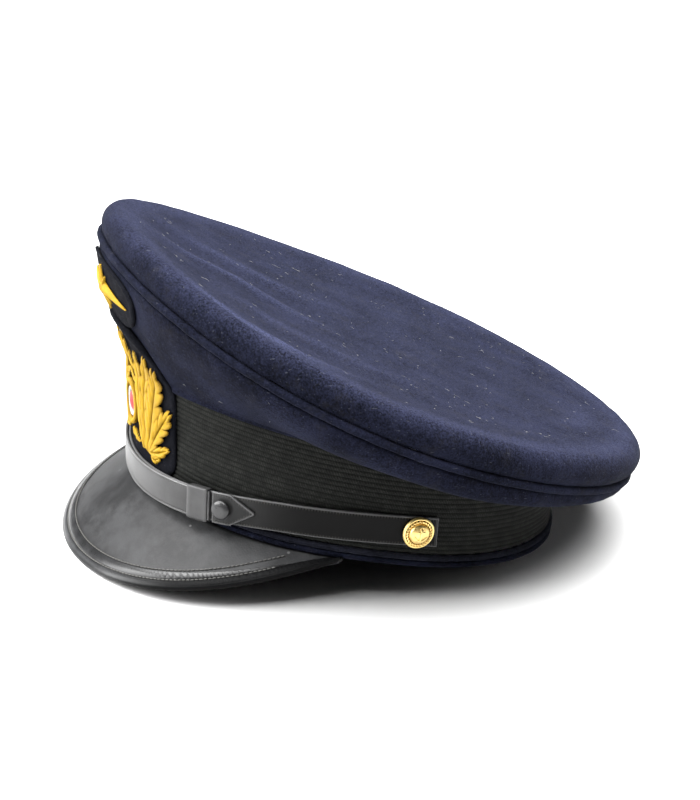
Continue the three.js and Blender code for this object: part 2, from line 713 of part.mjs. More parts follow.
add('badge_patch', patch(BADGE_PATCH, PANEL_RADIUS), patchCloth);
add('badge_star', badgeStar(), goldThread);

// The cap tips onto its resting place, and its box is centred over the origin
resting.decompose(level.position, level.quaternion, level.scale);
cap.updateMatrixWorld(true);
const box = new THREE.Box3().setFromObject(cap, true);
level.position.y -= (box.min.y + box.max.y) / 2;

export default cap;
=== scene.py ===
import math
import bmesh
import bpy
import numpy as np
from mathutils import Matrix, Vector


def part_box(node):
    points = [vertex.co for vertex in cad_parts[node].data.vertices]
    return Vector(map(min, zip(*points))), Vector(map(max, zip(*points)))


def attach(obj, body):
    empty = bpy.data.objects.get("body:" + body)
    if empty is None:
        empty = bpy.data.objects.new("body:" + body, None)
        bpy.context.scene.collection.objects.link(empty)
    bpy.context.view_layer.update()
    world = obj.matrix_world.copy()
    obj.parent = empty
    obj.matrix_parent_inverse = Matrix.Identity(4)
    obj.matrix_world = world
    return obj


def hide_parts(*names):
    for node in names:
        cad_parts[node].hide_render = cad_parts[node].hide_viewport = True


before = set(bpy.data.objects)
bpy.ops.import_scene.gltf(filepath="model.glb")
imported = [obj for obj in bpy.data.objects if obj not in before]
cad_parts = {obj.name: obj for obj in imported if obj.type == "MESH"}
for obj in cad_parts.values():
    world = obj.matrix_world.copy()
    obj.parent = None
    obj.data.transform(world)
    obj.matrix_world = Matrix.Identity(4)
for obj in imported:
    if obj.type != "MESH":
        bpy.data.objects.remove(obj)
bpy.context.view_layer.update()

# ---- Camera ----
# The cap is seen from the wearer's left, a little ahead of its side and from above, through
# a long lens.

VIEW_AZIMUTH = math.radians(72)
VIEW_ELEVATION = math.radians(22)
VIEW_ROLL = math.radians(-2.03)
VIEW_DISTANCE = 0.968
VIEW_TARGET = Vector((0, -0.0016, 0.0566))
LENS_MM = 95.9

backward = Vector((math.sin(VIEW_AZIMUTH) * math.cos(VIEW_ELEVATION),
                   -math.cos(VIEW_AZIMUTH) * math.cos(VIEW_ELEVATION), math.sin(VIEW_ELEVATION)))
rightward = Vector((math.cos(VIEW_AZIMUTH), math.sin(VIEW_AZIMUTH), 0))
upward = backward.cross(rightward)
rolled_right = rightward * math.cos(VIEW_ROLL) - upward * math.sin(VIEW_ROLL)
rolled_up = rightward * math.sin(VIEW_ROLL) + upward * math.cos(VIEW_ROLL)
camera = bpy.data.objects.new("camera", bpy.data.cameras.new("camera"))
camera.data.lens = LENS_MM
camera.data.clip_end = 100
camera.matrix_world = (Matrix.Translation(VIEW_TARGET + backward * VIEW_DISTANCE)
                       @ Matrix((rolled_right, rolled_up, backward)).transposed().to_4x4())
bpy.context.scene.collection.objects.link(camera)
bpy.context.scene.camera = camera

# ---- Head band ----
# Black mohair braid, woven in ribs, sewn round the stiff band that grips the head. The cap's
# form starts here: it is drawn level on this band's rim, where a turn is an angle round it,
# 0 at the front and positive to the wearer's left, and then tipped onto its resting place.

MM = 0.001
BAND_HALF_WIDTH = 90.5 * MM
BAND_HALF_LENGTH = 97 * MM
BAND_FLARE = math.tan(math.radians(2))
BAND_LEAN = math.tan(math.radians(10))
BAND_NARROWING = 0.045  # in front
BAND_WALL = 2 * MM
RIM_DROP = 2.5 * MM  # how far the rim bows down between the front and the sides
RIM_BOW = (8 * MM, 34 * MM)  # heights between which the mohair loses the rim's bow
BAND_RADIUS = 94 * MM  # turns a turn into a distance round the band
MOHAIR_BOTTOM = 5.8 * MM
MOHAIR_REACH = 50 * MM  # higher than its top edge anywhere
RIB_PITCH = 2.15 * MM
RIB_DEPTH = 0.45 * MM
RIB_STEPS = 6
BAND_LIP = [{"turn": 0, "height": 46.5}, {"turn": 45, "height": 49.5}, {"turn": 90, "height": 48},
            {"turn": 135, "height": 43}, {"turn": 180, "height": 41}]
REST_TILT = math.radians(10.557)
MOHAIR_DARK = (0.0030, 0.0034, 0.0032, 1)
MOHAIR_PALE = (0.023, 0.024, 0.0215, 1)


def column(rows, name, turn):
    """A column of a table at any turn: a smooth curve through its rows, the same on both sides."""
    values = np.array([row[name] for row in rows], float)
    last = len(rows) - 1
    side = np.abs((turn + np.pi) % (2 * np.pi) - np.pi)
    place = np.minimum(side / math.radians(rows[1]["turn"]), last)
    row = np.minimum(place.astype(int), last - 1)
    t = place - row
    before, a, b, after = (values[np.where(i > last, 2 * last - i, np.abs(i))]
                           for i in (row - 1, row, row + 1, row + 2))
    return a + 0.5 * t * (b - before + t * (2 * before - 5 * a + 4 * b - after
                                            + t * (3 * (a - b) + after - before)))


def smooth(value, low, high):
    """0 at low and short of it, 1 at high and past it, and an even curve between."""
    t = np.clip((value - low) / (high - low), 0, 1)
    return t * t * (3 - 2 * t)


def peak(value, middle, width):
    """1 at the middle, falling away evenly to both sides over a width."""
    return np.exp(-((value - middle) / width) ** 2)


def all_round(count):
    """Turns all the way round the cap, from its back to its back."""
    return np.radians(np.linspace(-180, 180, count, endpoint=False))


def run_along(line):
    """How far along a line each of its points is."""
    return np.concatenate([[0], np.cumsum(np.linalg.norm(np.diff(line, axis=0), axis=1))])


def nearest(points, line):
    """How far each point is from a bent line, and where on it, counted in corners."""
    away, where = np.full(points.shape[:-1], np.inf), np.zeros(points.shape[:-1])
    for i, (a, b) in enumerate(zip(line[:-1], line[1:])):
        t = np.clip((points - a) @ (b - a) / ((b - a) @ (b - a)), 0, 1)
        gap = np.linalg.norm(points - a - t[..., None] * (b - a), axis=-1)
        where = np.where(gap < away, i + t, where)
        away = np.minimum(away, gap)
    return away, where


def band_point(turn, height, out=0.0):
    """A point on the head band at a height above its rim, some way out from its face."""
    turn, height, out = np.broadcast_arrays(turn, height, out)
    spread = height * BAND_FLARE + out
    across = (BAND_HALF_WIDTH + spread) * np.sin(turn) * (1 - BAND_NARROWING * np.cos(turn))
    back = -(BAND_HALF_LENGTH + spread) * np.cos(turn) - height * BAND_LEAN
    return np.stack([across, back, height], -1)


def rim_point(turn, height, out=0.0, share=1.0):
    """A point near the rim, which bows down beside the front."""
    point = band_point(turn, height, out)
    point[..., 2] -= share * RIM_DROP * np.where(np.cos(turn) > 0, np.sin(2 * turn) ** 2, 0)
    return point


def tip_back(points):
    """From the level cap to the leaning one."""
    x, y, z = np.moveaxis(np.asarray(points, float), -1, 0)
    return np.stack([x, y * math.cos(REST_TILT) + z * math.sin(REST_TILT),
                     z * math.cos(REST_TILT) - y * math.sin(REST_TILT)], -1)


def uneven(points, size, seed, count=14):
    """A soft random relief, about -1 to 1, whose swells are about one size across."""
    random = np.random.default_rng(seed)
    total = np.zeros(points.shape[:-1])
    for _ in range(count):
        direction = random.normal(size=3)
        wave = direction / np.linalg.norm(direction) * 2 * np.pi / (size * random.uniform(0.8, 2))
        total += np.sin(points @ wave + random.uniform(0, 2 * np.pi))
    return total / math.sqrt(count)


class Work:
    """The points and faces of a piece while it is made, in the level cap's place."""

    def __init__(self):
        self.points = []
        self.faces = []
        self.marks = []

    def grid(self, points, closed_rows=False, closed_columns=False, marks=None):
        """Quads over rows and columns of points. marks are one number or three for each point."""
        rows, columns = points.shape[:2]
        start = sum(len(p) for p in self.points)
        index = start + np.arange(rows * columns).reshape(rows, columns)
        if closed_rows:
            index = np.vstack([index, index[:1]])
        if closed_columns:
            index = np.hstack([index, index[:, :1]])
        quads = np.stack([index[:-1, :-1], index[:-1, 1:], index[1:, 1:], index[1:, :-1]], -1)
        self.points.append(points.reshape(-1, 3))
        self.faces.extend(quads.reshape(-1, 4).tolist())
        shown = np.zeros((rows, columns, 3)) if marks is None else np.asarray(marks, float)
        shown = shown[..., None] * np.ones(3) if shown.ndim == 2 else shown
        self.marks.append(shown.reshape(-1, 3))
        return index[:rows, :columns]

    def cap(self, rings):
        """Closes a grid across its first and its last ring."""
        self.faces += [rings[0].tolist(), rings[-1][::-1].tolist()]

    def tubes(self, paths, normals, radius, sides=6, flat=1.0, marks=None):
        """A closed tube along each path, [tube][place], with one mark a tube or one a place."""
        along = np.gradient(paths, axis=1)
        along /= np.linalg.norm(along, axis=-1, keepdims=True) + 1e-12
        aside = np.cross(along, normals)
        aside /= np.linalg.norm(aside, axis=-1, keepdims=True) + 1e-12
        away = np.cross(aside, along)
        angle = np.arange(sides) * 2 * np.pi / sides
        radius = np.broadcast_to(radius, paths.shape[:2])[..., None, None]
        section = (np.cos(angle)[:, None] * aside[..., None, :]
                   + flat * np.sin(angle)[:, None] * away[..., None, :])
        rings = paths[..., None, :] + radius * section
        for k, tube in enumerate(rings):
            mark = None
            if marks is not None:
                mark = np.reshape(marks[k], (-1, 1)) + np.zeros(tube.shape[:2])
            self.cap(self.grid(tube, closed_columns=True, marks=mark))

    def finish(self, name, finish, slot, *nodes):
        """The piece itself: tipped back, set down, painted, and standing for its CAD nodes."""
        points = tip_back(np.vstack(self.points)) + REST_PLACE
        points[:, 2] = np.maximum(points[:, 2], 0)
        mesh = bpy.data.meshes.new(name)
        mesh.from_pydata(points.tolist(), [], self.faces)
        mesh.attributes.new("mark", "FLOAT_VECTOR", "POINT").data.foreach_set(
            "vector", np.vstack(self.marks).ravel())
        mesh.polygons.foreach_set("use_smooth", [True] * len(mesh.polygons))
        mesh.materials.append(finish.material)
        mesh.validate()
        made = bpy.data.objects.new(name, mesh)
        bpy.context.scene.collection.objects.link(made)
        turn_faces_out(made)
        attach(made, "root")
        if nodes:
            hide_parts(*nodes)
        return made


def turn_faces_out(made):
    """Makes the faces of each closed form point out of it."""
    form = bmesh.new()
    form.from_mesh(made.data)
    bmesh.ops.recalc_face_normals(form, faces=form.faces)
    form.to_mesh(made.data)
    form.free()


class Shade:
    """A socket among a material's nodes. Arithmetic on it adds the nodes that work it out."""

    def __init__(self, finish, socket):
        self.finish = finish
        self.socket = socket

    def _join(self, operation, first, second):
        kinds = {s.socket.type for s in (first, second) if isinstance(s, Shade)}
        kind = "ShaderNodeMath" if kinds == {"VALUE"} else "ShaderNodeVectorMath"
        return self.finish.node(kind, {"operation": operation}, {0: first, 1: second})

    def __add__(self, other):
        return self._join("ADD", self, other)

    def __radd__(self, other):
        return self._join("ADD", other, self)

    def __sub__(self, other):
        return self._join("SUBTRACT", self, other)

    def __rsub__(self, other):
        return self._join("SUBTRACT", other, self)

    def __mul__(self, other):
        return self._join("MULTIPLY", self, other)

    def __rmul__(self, other):
        return self._join("MULTIPLY", other, self)

    def step(self, low, high):
        """0 below low, 1 above high, smooth between."""
        return self.finish.node("ShaderNodeMapRange", {"interpolation_type": "SMOOTHSTEP"},
                                {0: self, 1: low, 2: high})

    def between(self, low, high):
        """The colour low where this is 0 and the colour high where it is 1."""
        return self.finish.node("ShaderNodeMix", {"data_type": "RGBA"}, {0: self, 6: low, 7: high}, 2)

    def wave(self, pitch):
        """A sine of this, -1 to 1, that repeats at a pitch."""
        return self.finish.node("ShaderNodeMath", {"operation": "SINE"},
                                {0: self * (2 * np.pi / pitch)})


class Finish:
    """A material made of procedural nodes round one Principled shader."""

    def __init__(self, name, **fixed):
        self.material = bpy.data.materials.new(name)
        self.material.use_nodes = True
        self.tree = self.material.node_tree
        self.shader = self.tree.nodes["Principled BSDF"]
        self.normal = None
        for socket, value in fixed.items():
            self.feed(self.shader.inputs[socket.replace("_", " ")], value)

    def feed(self, socket, value):
        if isinstance(value, Shade):
            self.tree.links.new(value.socket, socket)
        elif socket.type == "VECTOR" and not hasattr(value, "__len__"):
            socket.default_value = (value, value, value)
        else:
            socket.default_value = value

    def node(self, kind, settings=None, inputs=None, output=0):
        """Any node: its settings first, then the values or links of its sockets."""
        made = self.tree.nodes.new(kind)
        for name, value in (settings or {}).items():
            setattr(made, name, value)
        for name, value in (inputs or {}).items():
            self.feed(made.inputs[name], value)
        return Shade(self, made.outputs[output])

    def place(self, stretch=(1, 1, 1)):
        """The place on the object, in metres, stretched along each axis."""
        return self.node("ShaderNodeTexCoord", output="Object") * stretch

    def mark(self, axis=0):
        """A number that the piece's mesh carries."""
        carried = self.node("ShaderNodeAttribute", {"attribute_name": "mark"}, output="Vector")
        return self.node("ShaderNodeSeparateXYZ", None, {0: carried}, axis)

    def noise(self, size, detail=2.0, stretch=(1, 1, 1), rough=0.5):
        """Cloudy noise, 0 to 1, whose clouds are about one size across."""
        return self.node("ShaderNodeTexNoise", None, {"Vector": self.place(stretch), "Scale": 1 / size,
                                                      "Detail": detail, "Roughness": rough})

    def specks(self, size, share):
        """Scattered round specks: 1 in a share of the cells of that size, 0 elsewhere."""
        cells = {"Vector": self.place(), "Scale": 1 / size}
        near = self.node("ShaderNodeTexVoronoi", None, cells, "Distance")
        chance = self.node("ShaderNodeSeparateXYZ", None, {
            0: self.node("ShaderNodeTexVoronoi", None, cells, "Color")})
        return (1 - near.step(0.12, 0.24)) * (1 - chance.step(share, share + 0.001))

    def bump(self, height, depth):
        """Raises the surface by height, 0 to 1, times a depth in metres."""
        inputs = {"Height": height, "Distance": depth, "Strength": 1.0}
        if self.normal is not None:
            inputs["Normal"] = self.normal
        self.normal = self.node("ShaderNodeBump", None, inputs)
        self.feed(self.shader.inputs["Normal"], self.normal)

    def paint(self, colour=None, roughness=None):
        if colour is not None:
            self.feed(self.shader.inputs["Base Color"], colour)
        if roughness is not None:
            self.feed(self.shader.inputs["Roughness"], roughness)
        return self


def lip_height(turn):
    """How high the side wall meets the mohair."""
    return MM * column(BAND_LIP, "height", turn)


def mohair_finish():
    """Ribs crossed by fine weft threads, cloudy dust, a soft sheen, and crests painted paler brown-grey
    with darker grooves between them, as painted light and shade.
    """
    cloth = Finish("mohair", Specular_IOR_Level=0.08)
    arc, height, crest = (cloth.mark(axis) for axis in range(3))
    weft = (arc + 0.45 * height).wave(1.15 * MM) * 0.5 + 0.5
    fuzz = cloth.noise(0.6 * MM, 3, rough=0.65).step(0.35, 0.65)
    dust = cloth.noise(4 * MM, 3).step(0.35, 0.7)
    # The crest term is painted light and shade: paler on the ribs' crests, darker in the grooves between
    # them.
    light = (0.25 + 0.75 * crest) * (0.45 + 0.55 * weft) * (0.55 + 0.45 * dust) * (0.35 + fuzz)
    cloth.bump(weft * crest, 0.10 * MM)
    cloth.bump(fuzz, 0.10 * MM)
    return cloth.paint(light.between(MOHAIR_DARK, MOHAIR_PALE), 0.72 + 0.2 * fuzz)


def mohair_band():
    """The band's ribs outside, and its plain wall inside."""
    turns = all_round(480)
    top = lip_height(turns) + 0.6 * MM
    count = int((MOHAIR_REACH - MOHAIR_BOTTOM) / RIB_PITCH * RIB_STEPS)
    climb = np.arange(count + 1)[:, None] * RIB_PITCH / RIB_STEPS
    height = np.minimum(MOHAIR_BOTTOM + climb + 0 * turns, top)
    crest = np.abs(np.sin(np.pi * climb / RIB_PITCH)) ** 0.6 + 0 * turns
    share = 1 - smooth(height, *RIM_BOW)
    flat = band_point(turns + 0 * height, height)
    out = RIB_DEPTH * (crest - 0.75) + 0.10 * MM * uneven(flat, 14 * MM, 3)
    outer = rim_point(turns + 0 * height, height, out, share)
    inner_height = np.linspace(1, 0, 12)[:, None] * (top - MOHAIR_BOTTOM) + MOHAIR_BOTTOM
    inner = rim_point(turns + 0 * inner_height, inner_height, -BAND_WALL,
                      1 - smooth(inner_height, *RIM_BOW))
    arc = turns * BAND_RADIUS
    # The crest also goes to the finish, where it paints the ribs paler on top and darker between, as
    # painted light and shade.
    marks = np.stack(np.broadcast_arrays(arc, height, crest), -1)
    plain = np.stack(np.broadcast_arrays(arc, inner_height, 0.4), -1)
    work = Work()
    work.grid(np.vstack([outer, inner]), True, True, np.vstack([marks, plain]))
    return work.finish("mohair_braid", mohair_finish(), "mohair", "mohair_band")


hem_turns = np.radians(np.arange(-180, 180, 6))
hem = tip_back(np.vstack([rim_point(hem_turns, MOHAIR_BOTTOM),
                          band_point(hem_turns, lip_height(hem_turns) - 0.4 * MM)]))
REST_PLACE = (sum(np.array(corner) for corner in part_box("mohair_band"))
              - hem.min(0) - hem.max(0)) / 2  # where the middle of the rim comes to rest
REST_PLACE[0] = 0
mohair_band()

# ---- Lower roll and base strip ----
# Two rolls of the crown's wool, sewn under the mohair: the upper one covers a cord, and the
# lower one turns under as the cap's bottom edge, pressed flat where it stands on a surface.

ROLL_RADIUS = 1.42 * MM
ROLL_HEIGHT = 4.2 * MM
STRIP = {"height": 2.65 * MM, "out": 1.25 * MM, "inside": -1.65 * MM}
NAVY_DARK = (0.0010, 0.0013, 0.0026, 1)
NAVY = (0.0100, 0.0115, 0.0235, 1)
NAVY_BROWN = (0.0125, 0.0122, 0.0140, 1)
NAVY_WORN_AND_LIT = (0.028, 0.032, 0.064, 1)


def wool_finish(name, dark=NAVY_DARK, light=NAVY, sheen=0.02):
    """Fulled navy wool: matted fibres, cloudy shade, brown dust, and paler where marked, as worn nap
    and, on the crown, as painted light.
    """
    cloth = Finish(name, Sheen_Weight=sheen, Sheen_Roughness=0.45, Sheen_Tint=(0.62, 0.66, 1, 1),
                   Specular_IOR_Level=0.03)
    fibre = cloth.noise(0.85 * MM, 4, rough=0.75)
    nap = cloth.noise(2.2 * MM, 4, rough=0.7)
    clouds = cloth.noise(22 * MM, 4, rough=0.6)
    dust = cloth.noise(12 * MM, 5, rough=0.7).step(0.5, 0.75)
    shade = (0.75 * fibre + 0.3 * nap + 0.45 * clouds).step(0.56, 0.98)
    colour = shade.between(dark, light)
    colour = (dust * 0.5).between(colour, NAVY_BROWN)
    # Paler where marked: worn nap, and on the crown also painted light from overhead.
    colour = (cloth.mark() * fibre.step(0.36, 0.62) * 1.35).between(colour, NAVY_WORN_AND_LIT)
    hairs = (cloth.noise(0.7 * MM, 2, (1, 0.14, 1)).step(0.68, 0.74)
             + cloth.noise(0.7 * MM, 2, (0.14, 1, 1)).step(0.69, 0.75))
    colour = (hairs * 0.3).between(colour, (0.085, 0.088, 0.105, 1))
    cloth.bump(fibre, 0.22 * MM)
    cloth.bump(nap, 0.12 * MM)
    return cloth.paint(colour, 0.88 + 0.1 * fibre)


navy_wool = wool_finish("navy_wool")
roll_wool = wool_finish("roll_wool", (0.0035, 0.0038, 0.0055, 1), (0.0150, 0.0160, 0.0240, 1))


def lower_roll():
    """The covered cord: a round roll with small puckers."""
    turns = all_round(540)
    angle = np.radians(np.arange(0, 360, 22.5))[:, None]
    puckers = uneven(band_point(turns, ROLL_HEIGHT), 5 * MM, 11)
    radius = ROLL_RADIUS * (1 + 0.05 * puckers)
    points = rim_point(turns + 0 * angle, ROLL_HEIGHT + radius * np.sin(angle) * 1.02,
                       radius * np.cos(angle) + 0.05 * MM)
    work = Work()
    work.grid(points, True, True)
    return work.finish("lower_roll", roll_wool, "piping", "lower_piping")


def base_roll():
    """The strip under it: a squarish roll with small puckers."""
    turns = all_round(540)
    angle = np.radians(np.arange(0, 360, 18))[:, None]
    rounded = np.sign(np.cos(angle)) * np.abs(np.cos(angle)) ** 0.75
    middle = (STRIP["out"] + STRIP["inside"]) / 2
    puckers = uneven(band_point(turns, 0), 6 * MM, 12)
    half = (STRIP["out"] - STRIP["inside"]) / 2 * (1 + 0.04 * puckers)
    up = STRIP["height"] / 2 * (1 + np.sign(np.sin(angle)) * np.abs(np.sin(angle)) ** 0.75)
    work = Work()
    work.grid(rim_point(turns + 0 * angle, up, middle + half * rounded), True, True)
    return work.finish("base_roll", navy_wool, "wool", "base_strip")


lower_roll()
base_roll()

# ---- Crown seam and side panel ----
# The wool side wall, cut in joined lengths: it is sewn under the crown's edge, stands tall in
# front, and rolls in over the top of the mohair, with its lower edge turned under.

GAP = 0.3 * MM
CROWN_HALF_WIDTH = 124 * MM
CROWN_HALF_LENGTH = 132 * MM
CROWN_EGG = 0.07  # wider in front
CROWN_RISE = math.radians(12)
CROWN_SADDLE = 5.5 * MM
CROWN_DROOP = 5 * MM
CROWN_CENTRE = (0, -2 * MM, 58.3 * MM)
PIPING_RADIUS = 1.75 * MM
SEAM_HALF = PIPING_RADIUS + GAP
PANEL_WALL = 1.8 * MM
PANEL_ROWS = [
    {"turn": 0, "fall": 11, "belly": 0, "reach": 4, "rise": 10, "tuck": 0},
    {"turn": 45, "fall": 9, "belly": 1, "reach": 5, "rise": 4, "tuck": 0},
    {"turn": 90, "fall": 17, "belly": 2, "reach": 16, "rise": -1, "tuck": 2},
    {"turn": 135, "fall": 11, "belly": 1, "reach": 21, "rise": -1, "tuck": 2},
    {"turn": 180, "fall": 6, "belly": 2, "reach": 24, "rise": -1, "tuck": 2},
]
PANEL_SEAMS = [math.radians(degrees) for degrees in (-98, 98, 180)]
SEAM_WIDTH = 0.006  # as a turn, in radians


def crown_plane_point(across, back, lift):
    """A point over the crown's own plane, which rises to the front and sags at its sides."""
    across, back, lift = np.broadcast_arrays(across, back, lift)
    length = back / CROWN_HALF_LENGTH
    high = lift + CROWN_SADDLE * length ** 2 - CROWN_DROOP * length ** 3
    c, s = math.cos(CROWN_RISE), math.sin(CROWN_RISE)
    return np.stack([across, back * c + high * s, high * c - back * s], -1) + np.array(CROWN_CENTRE)


def crown_outline(turn, inset):
    """Across and back from the crown's middle, some way in from its seam."""
    return ((CROWN_HALF_WIDTH - inset) * np.sin(turn) * (1 + CROWN_EGG * np.cos(turn)),
            -(CROWN_HALF_LENGTH - inset) * np.cos(turn))


def crown_point(turn, inset, lift):
    """A point some way in from the crown's seam and above its plane."""
    return crown_plane_point(*crown_outline(turn, inset), lift)


def outward(turn):
    """The level direction out of the cap."""
    return np.stack([np.sin(turn), -np.cos(turn), 0 * turn], -1)


def panel_point(turn, t):
    """The panel's face, from 0 under the crown seam to 1 on the band, and its outward normal."""
    turn, t = np.broadcast_arrays(turn, t)

    def size(name):
        return MM * column(PANEL_ROWS, name, turn)[..., None]
    out = outward(turn)
    up = np.array([0.0, 0.0, 1.0])
    start = crown_point(turn, GAP, -SEAM_HALF)
    end = band_point(turn, lip_height(turn), -size("tuck")[..., 0])
    hull = [start, start + out * size("belly") - up * size("fall"),
            end + out * size("reach") + up * size("rise"), end]
    t = t[..., None]
    point = sum(weight * corner for weight, corner in
                zip(((1 - t) ** 3, 3 * t * (1 - t) ** 2, 3 * t * t * (1 - t), t ** 3), hull))
    along = sum(weight * (b - a) for weight, a, b in
                zip(((1 - t) ** 2, 2 * t * (1 - t), t * t), hull[:-1], hull[1:]))
    normal = np.cross(along, np.stack([np.cos(turn), np.sin(turn), 0 * turn], -1))
    return point, normal / np.linalg.norm(normal, axis=-1, keepdims=True)


def side_panel():
    """The wall's face with its gathers, seams and turned edge, and its plain back."""
    turns = all_round(480)
    t = np.linspace(0, 1, 34)[:, None]
    face, normal = panel_point(turns + 0 * t, t)
    gathers = uneven(face * np.array([1, 1, 0.25]), 6 * MM, 21) * np.exp(-t / 0.13) * 0.22
    sag = uneven(face, 34 * MM, 22) * np.sin(np.pi * t) * 0.35
    turned_in = 1.0 * smooth(t, 0.90, 0.965) * (1 - 0.35 * smooth(t, 0.98, 1))
    seams = sum(peak((turns - seam + np.pi) % (2 * np.pi) - np.pi, 0, SEAM_WIDTH)
                for seam in PANEL_SEAMS) * -0.45 * smooth(t, 0, 0.05)
    outer = face + normal * (MM * (gathers + sag + turned_in + seams))[..., None]
    inner_t = np.linspace(1, 0, 14)[:, None]
    inner, inner_normal = panel_point(turns + 0 * inner_t, inner_t)
    inner = inner - inner_normal * PANEL_WALL
    edge = outer[-1] + (inner[0] - outer[-1]) * 0.5 - np.array([0, 0, 0.8 * MM])
    worn = smooth(uneven(face, 40 * MM, 23), 0.1, 1.6) * 0.35 * np.sin(np.pi * t)
    marks = np.vstack([worn, np.zeros((1 + len(inner_t), len(turns)))])
    work = Work()
    work.grid(np.vstack([outer, edge[None], inner]), True, True, marks)
    return work.finish("side_wall", navy_wool, "wool", "side_panel")


side_panel()

# ---- Crown piping ----
# A thick cord in a bias strip of the same wool, sewn into the seam between the crown and the
# side wall. The strip twists a little and its seam allowance runs inwards.

PIPING_TAIL = 3.2  # how far the allowance runs in, in radii of the cord


def crown_piping():
    """The cord, drawn in to a flat allowance on its inner side."""
    turns = all_round(720)
    angle = np.radians(np.arange(0, 360, 20))[:, None]
    along = crown_point(turns, 0, 0)
    radius = PIPING_RADIUS * (1 + 0.045 * uneven(along, 7 * MM, 31)
                              + 0.02 * np.sin(210 * turns + 2 * angle))
    sway = 0.08 * MM * uneven(along, 30 * MM, 32)
    out = radius * np.cos(angle)
    out = np.where(out < 0, out * PIPING_TAIL, out)
    work = Work()
    work.grid(crown_point(turns + 0 * angle, -out, radius * np.sin(angle) + sway), True, True)
    return work.finish("piping_cord", navy_wool, "piping", "crown_piping")


crown_piping()

# ---- Crown top ----
# One oval of wool stretched over a hoop: a soft roll round the rim, a shallow dish inside it,
# and a few long creases where the nap has worn pale.
# The top and the upper side of its roll are also painted paler than the side wall, as painted light from
# overhead.

CROWN_ROLL = 7.5 * MM
CROWN_PROUD = 2 * MM
CROWN_DISH = 2.4 * MM
CROWN_WALL = 2 * MM
CROWN_CORE = 60 * MM  # from the seam to where the rings of points close up
CREASES = [
    {"line": [(-22, -117), (-12, -94), (-8, -70), (13.5, -45.5), (25, -20)], "height": 1.5,
     "width": 6.5, "nap": 0.8},
    {"line": [(35, -127), (63, -110), (82, -97), (92, -66), (84, -20)], "height": 1.0, "width": 7,
     "nap": 1.0},
    {"line": [(-60, -104), (-44, -78), (-26, -40), (-20, 0)], "height": 1.1, "width": 9, "nap": 0.5},
    {"line": [(20, -96), (44, -70), (60, -34), (64, 6)], "height": 0.7, "width": 8, "nap": 0.45},
    {"line": [(66, 60), (40, 92), (6, 108)], "height": 0.8, "width": 8, "nap": 0.4},
]


def near_line(across, back, line):
    """How far each place is from a bent line, and how near its ends, 0, or its middle, 1."""
    away, where = nearest(np.stack([across, back], -1), np.array(line, float) * MM)
    return away, np.sin(np.pi * np.clip(where / (len(line) - 1), 0.02, 0.98)) ** 0.6


def rim_wear(inset):
    """How worn the nap is along the crown's roll, some way in from the seam."""
    return 0.35 * peak(inset, 9 * MM, 6 * MM)


def crown_relief(across, back, inset):
    """The top's height over its plane, and how worn its nap is."""
    inside = smooth(inset, CROWN_ROLL - CROWN_PROUD, 40 * MM)
    lift = CROWN_ROLL * 2 - CROWN_DISH * inside
    worn = rim_wear(inset)
    for crease in CREASES:
        away, ends = near_line(across, back, crease["line"])
        ridge = peak(away, 0, crease["width"] * MM) * ends
        lift = lift + crease["height"] * MM * ridge * smooth(inset, 3 * MM, 16 * MM)
        worn = worn + crease["nap"] * ridge ** 2 * 0.8
    flat = np.stack([across, back, 0 * across], -1)
    swells = 0.35 * MM * uneven(flat, 45 * MM, 41) * inside
    return lift + swells + 0.10 * MM * uneven(flat, 13 * MM, 42), worn


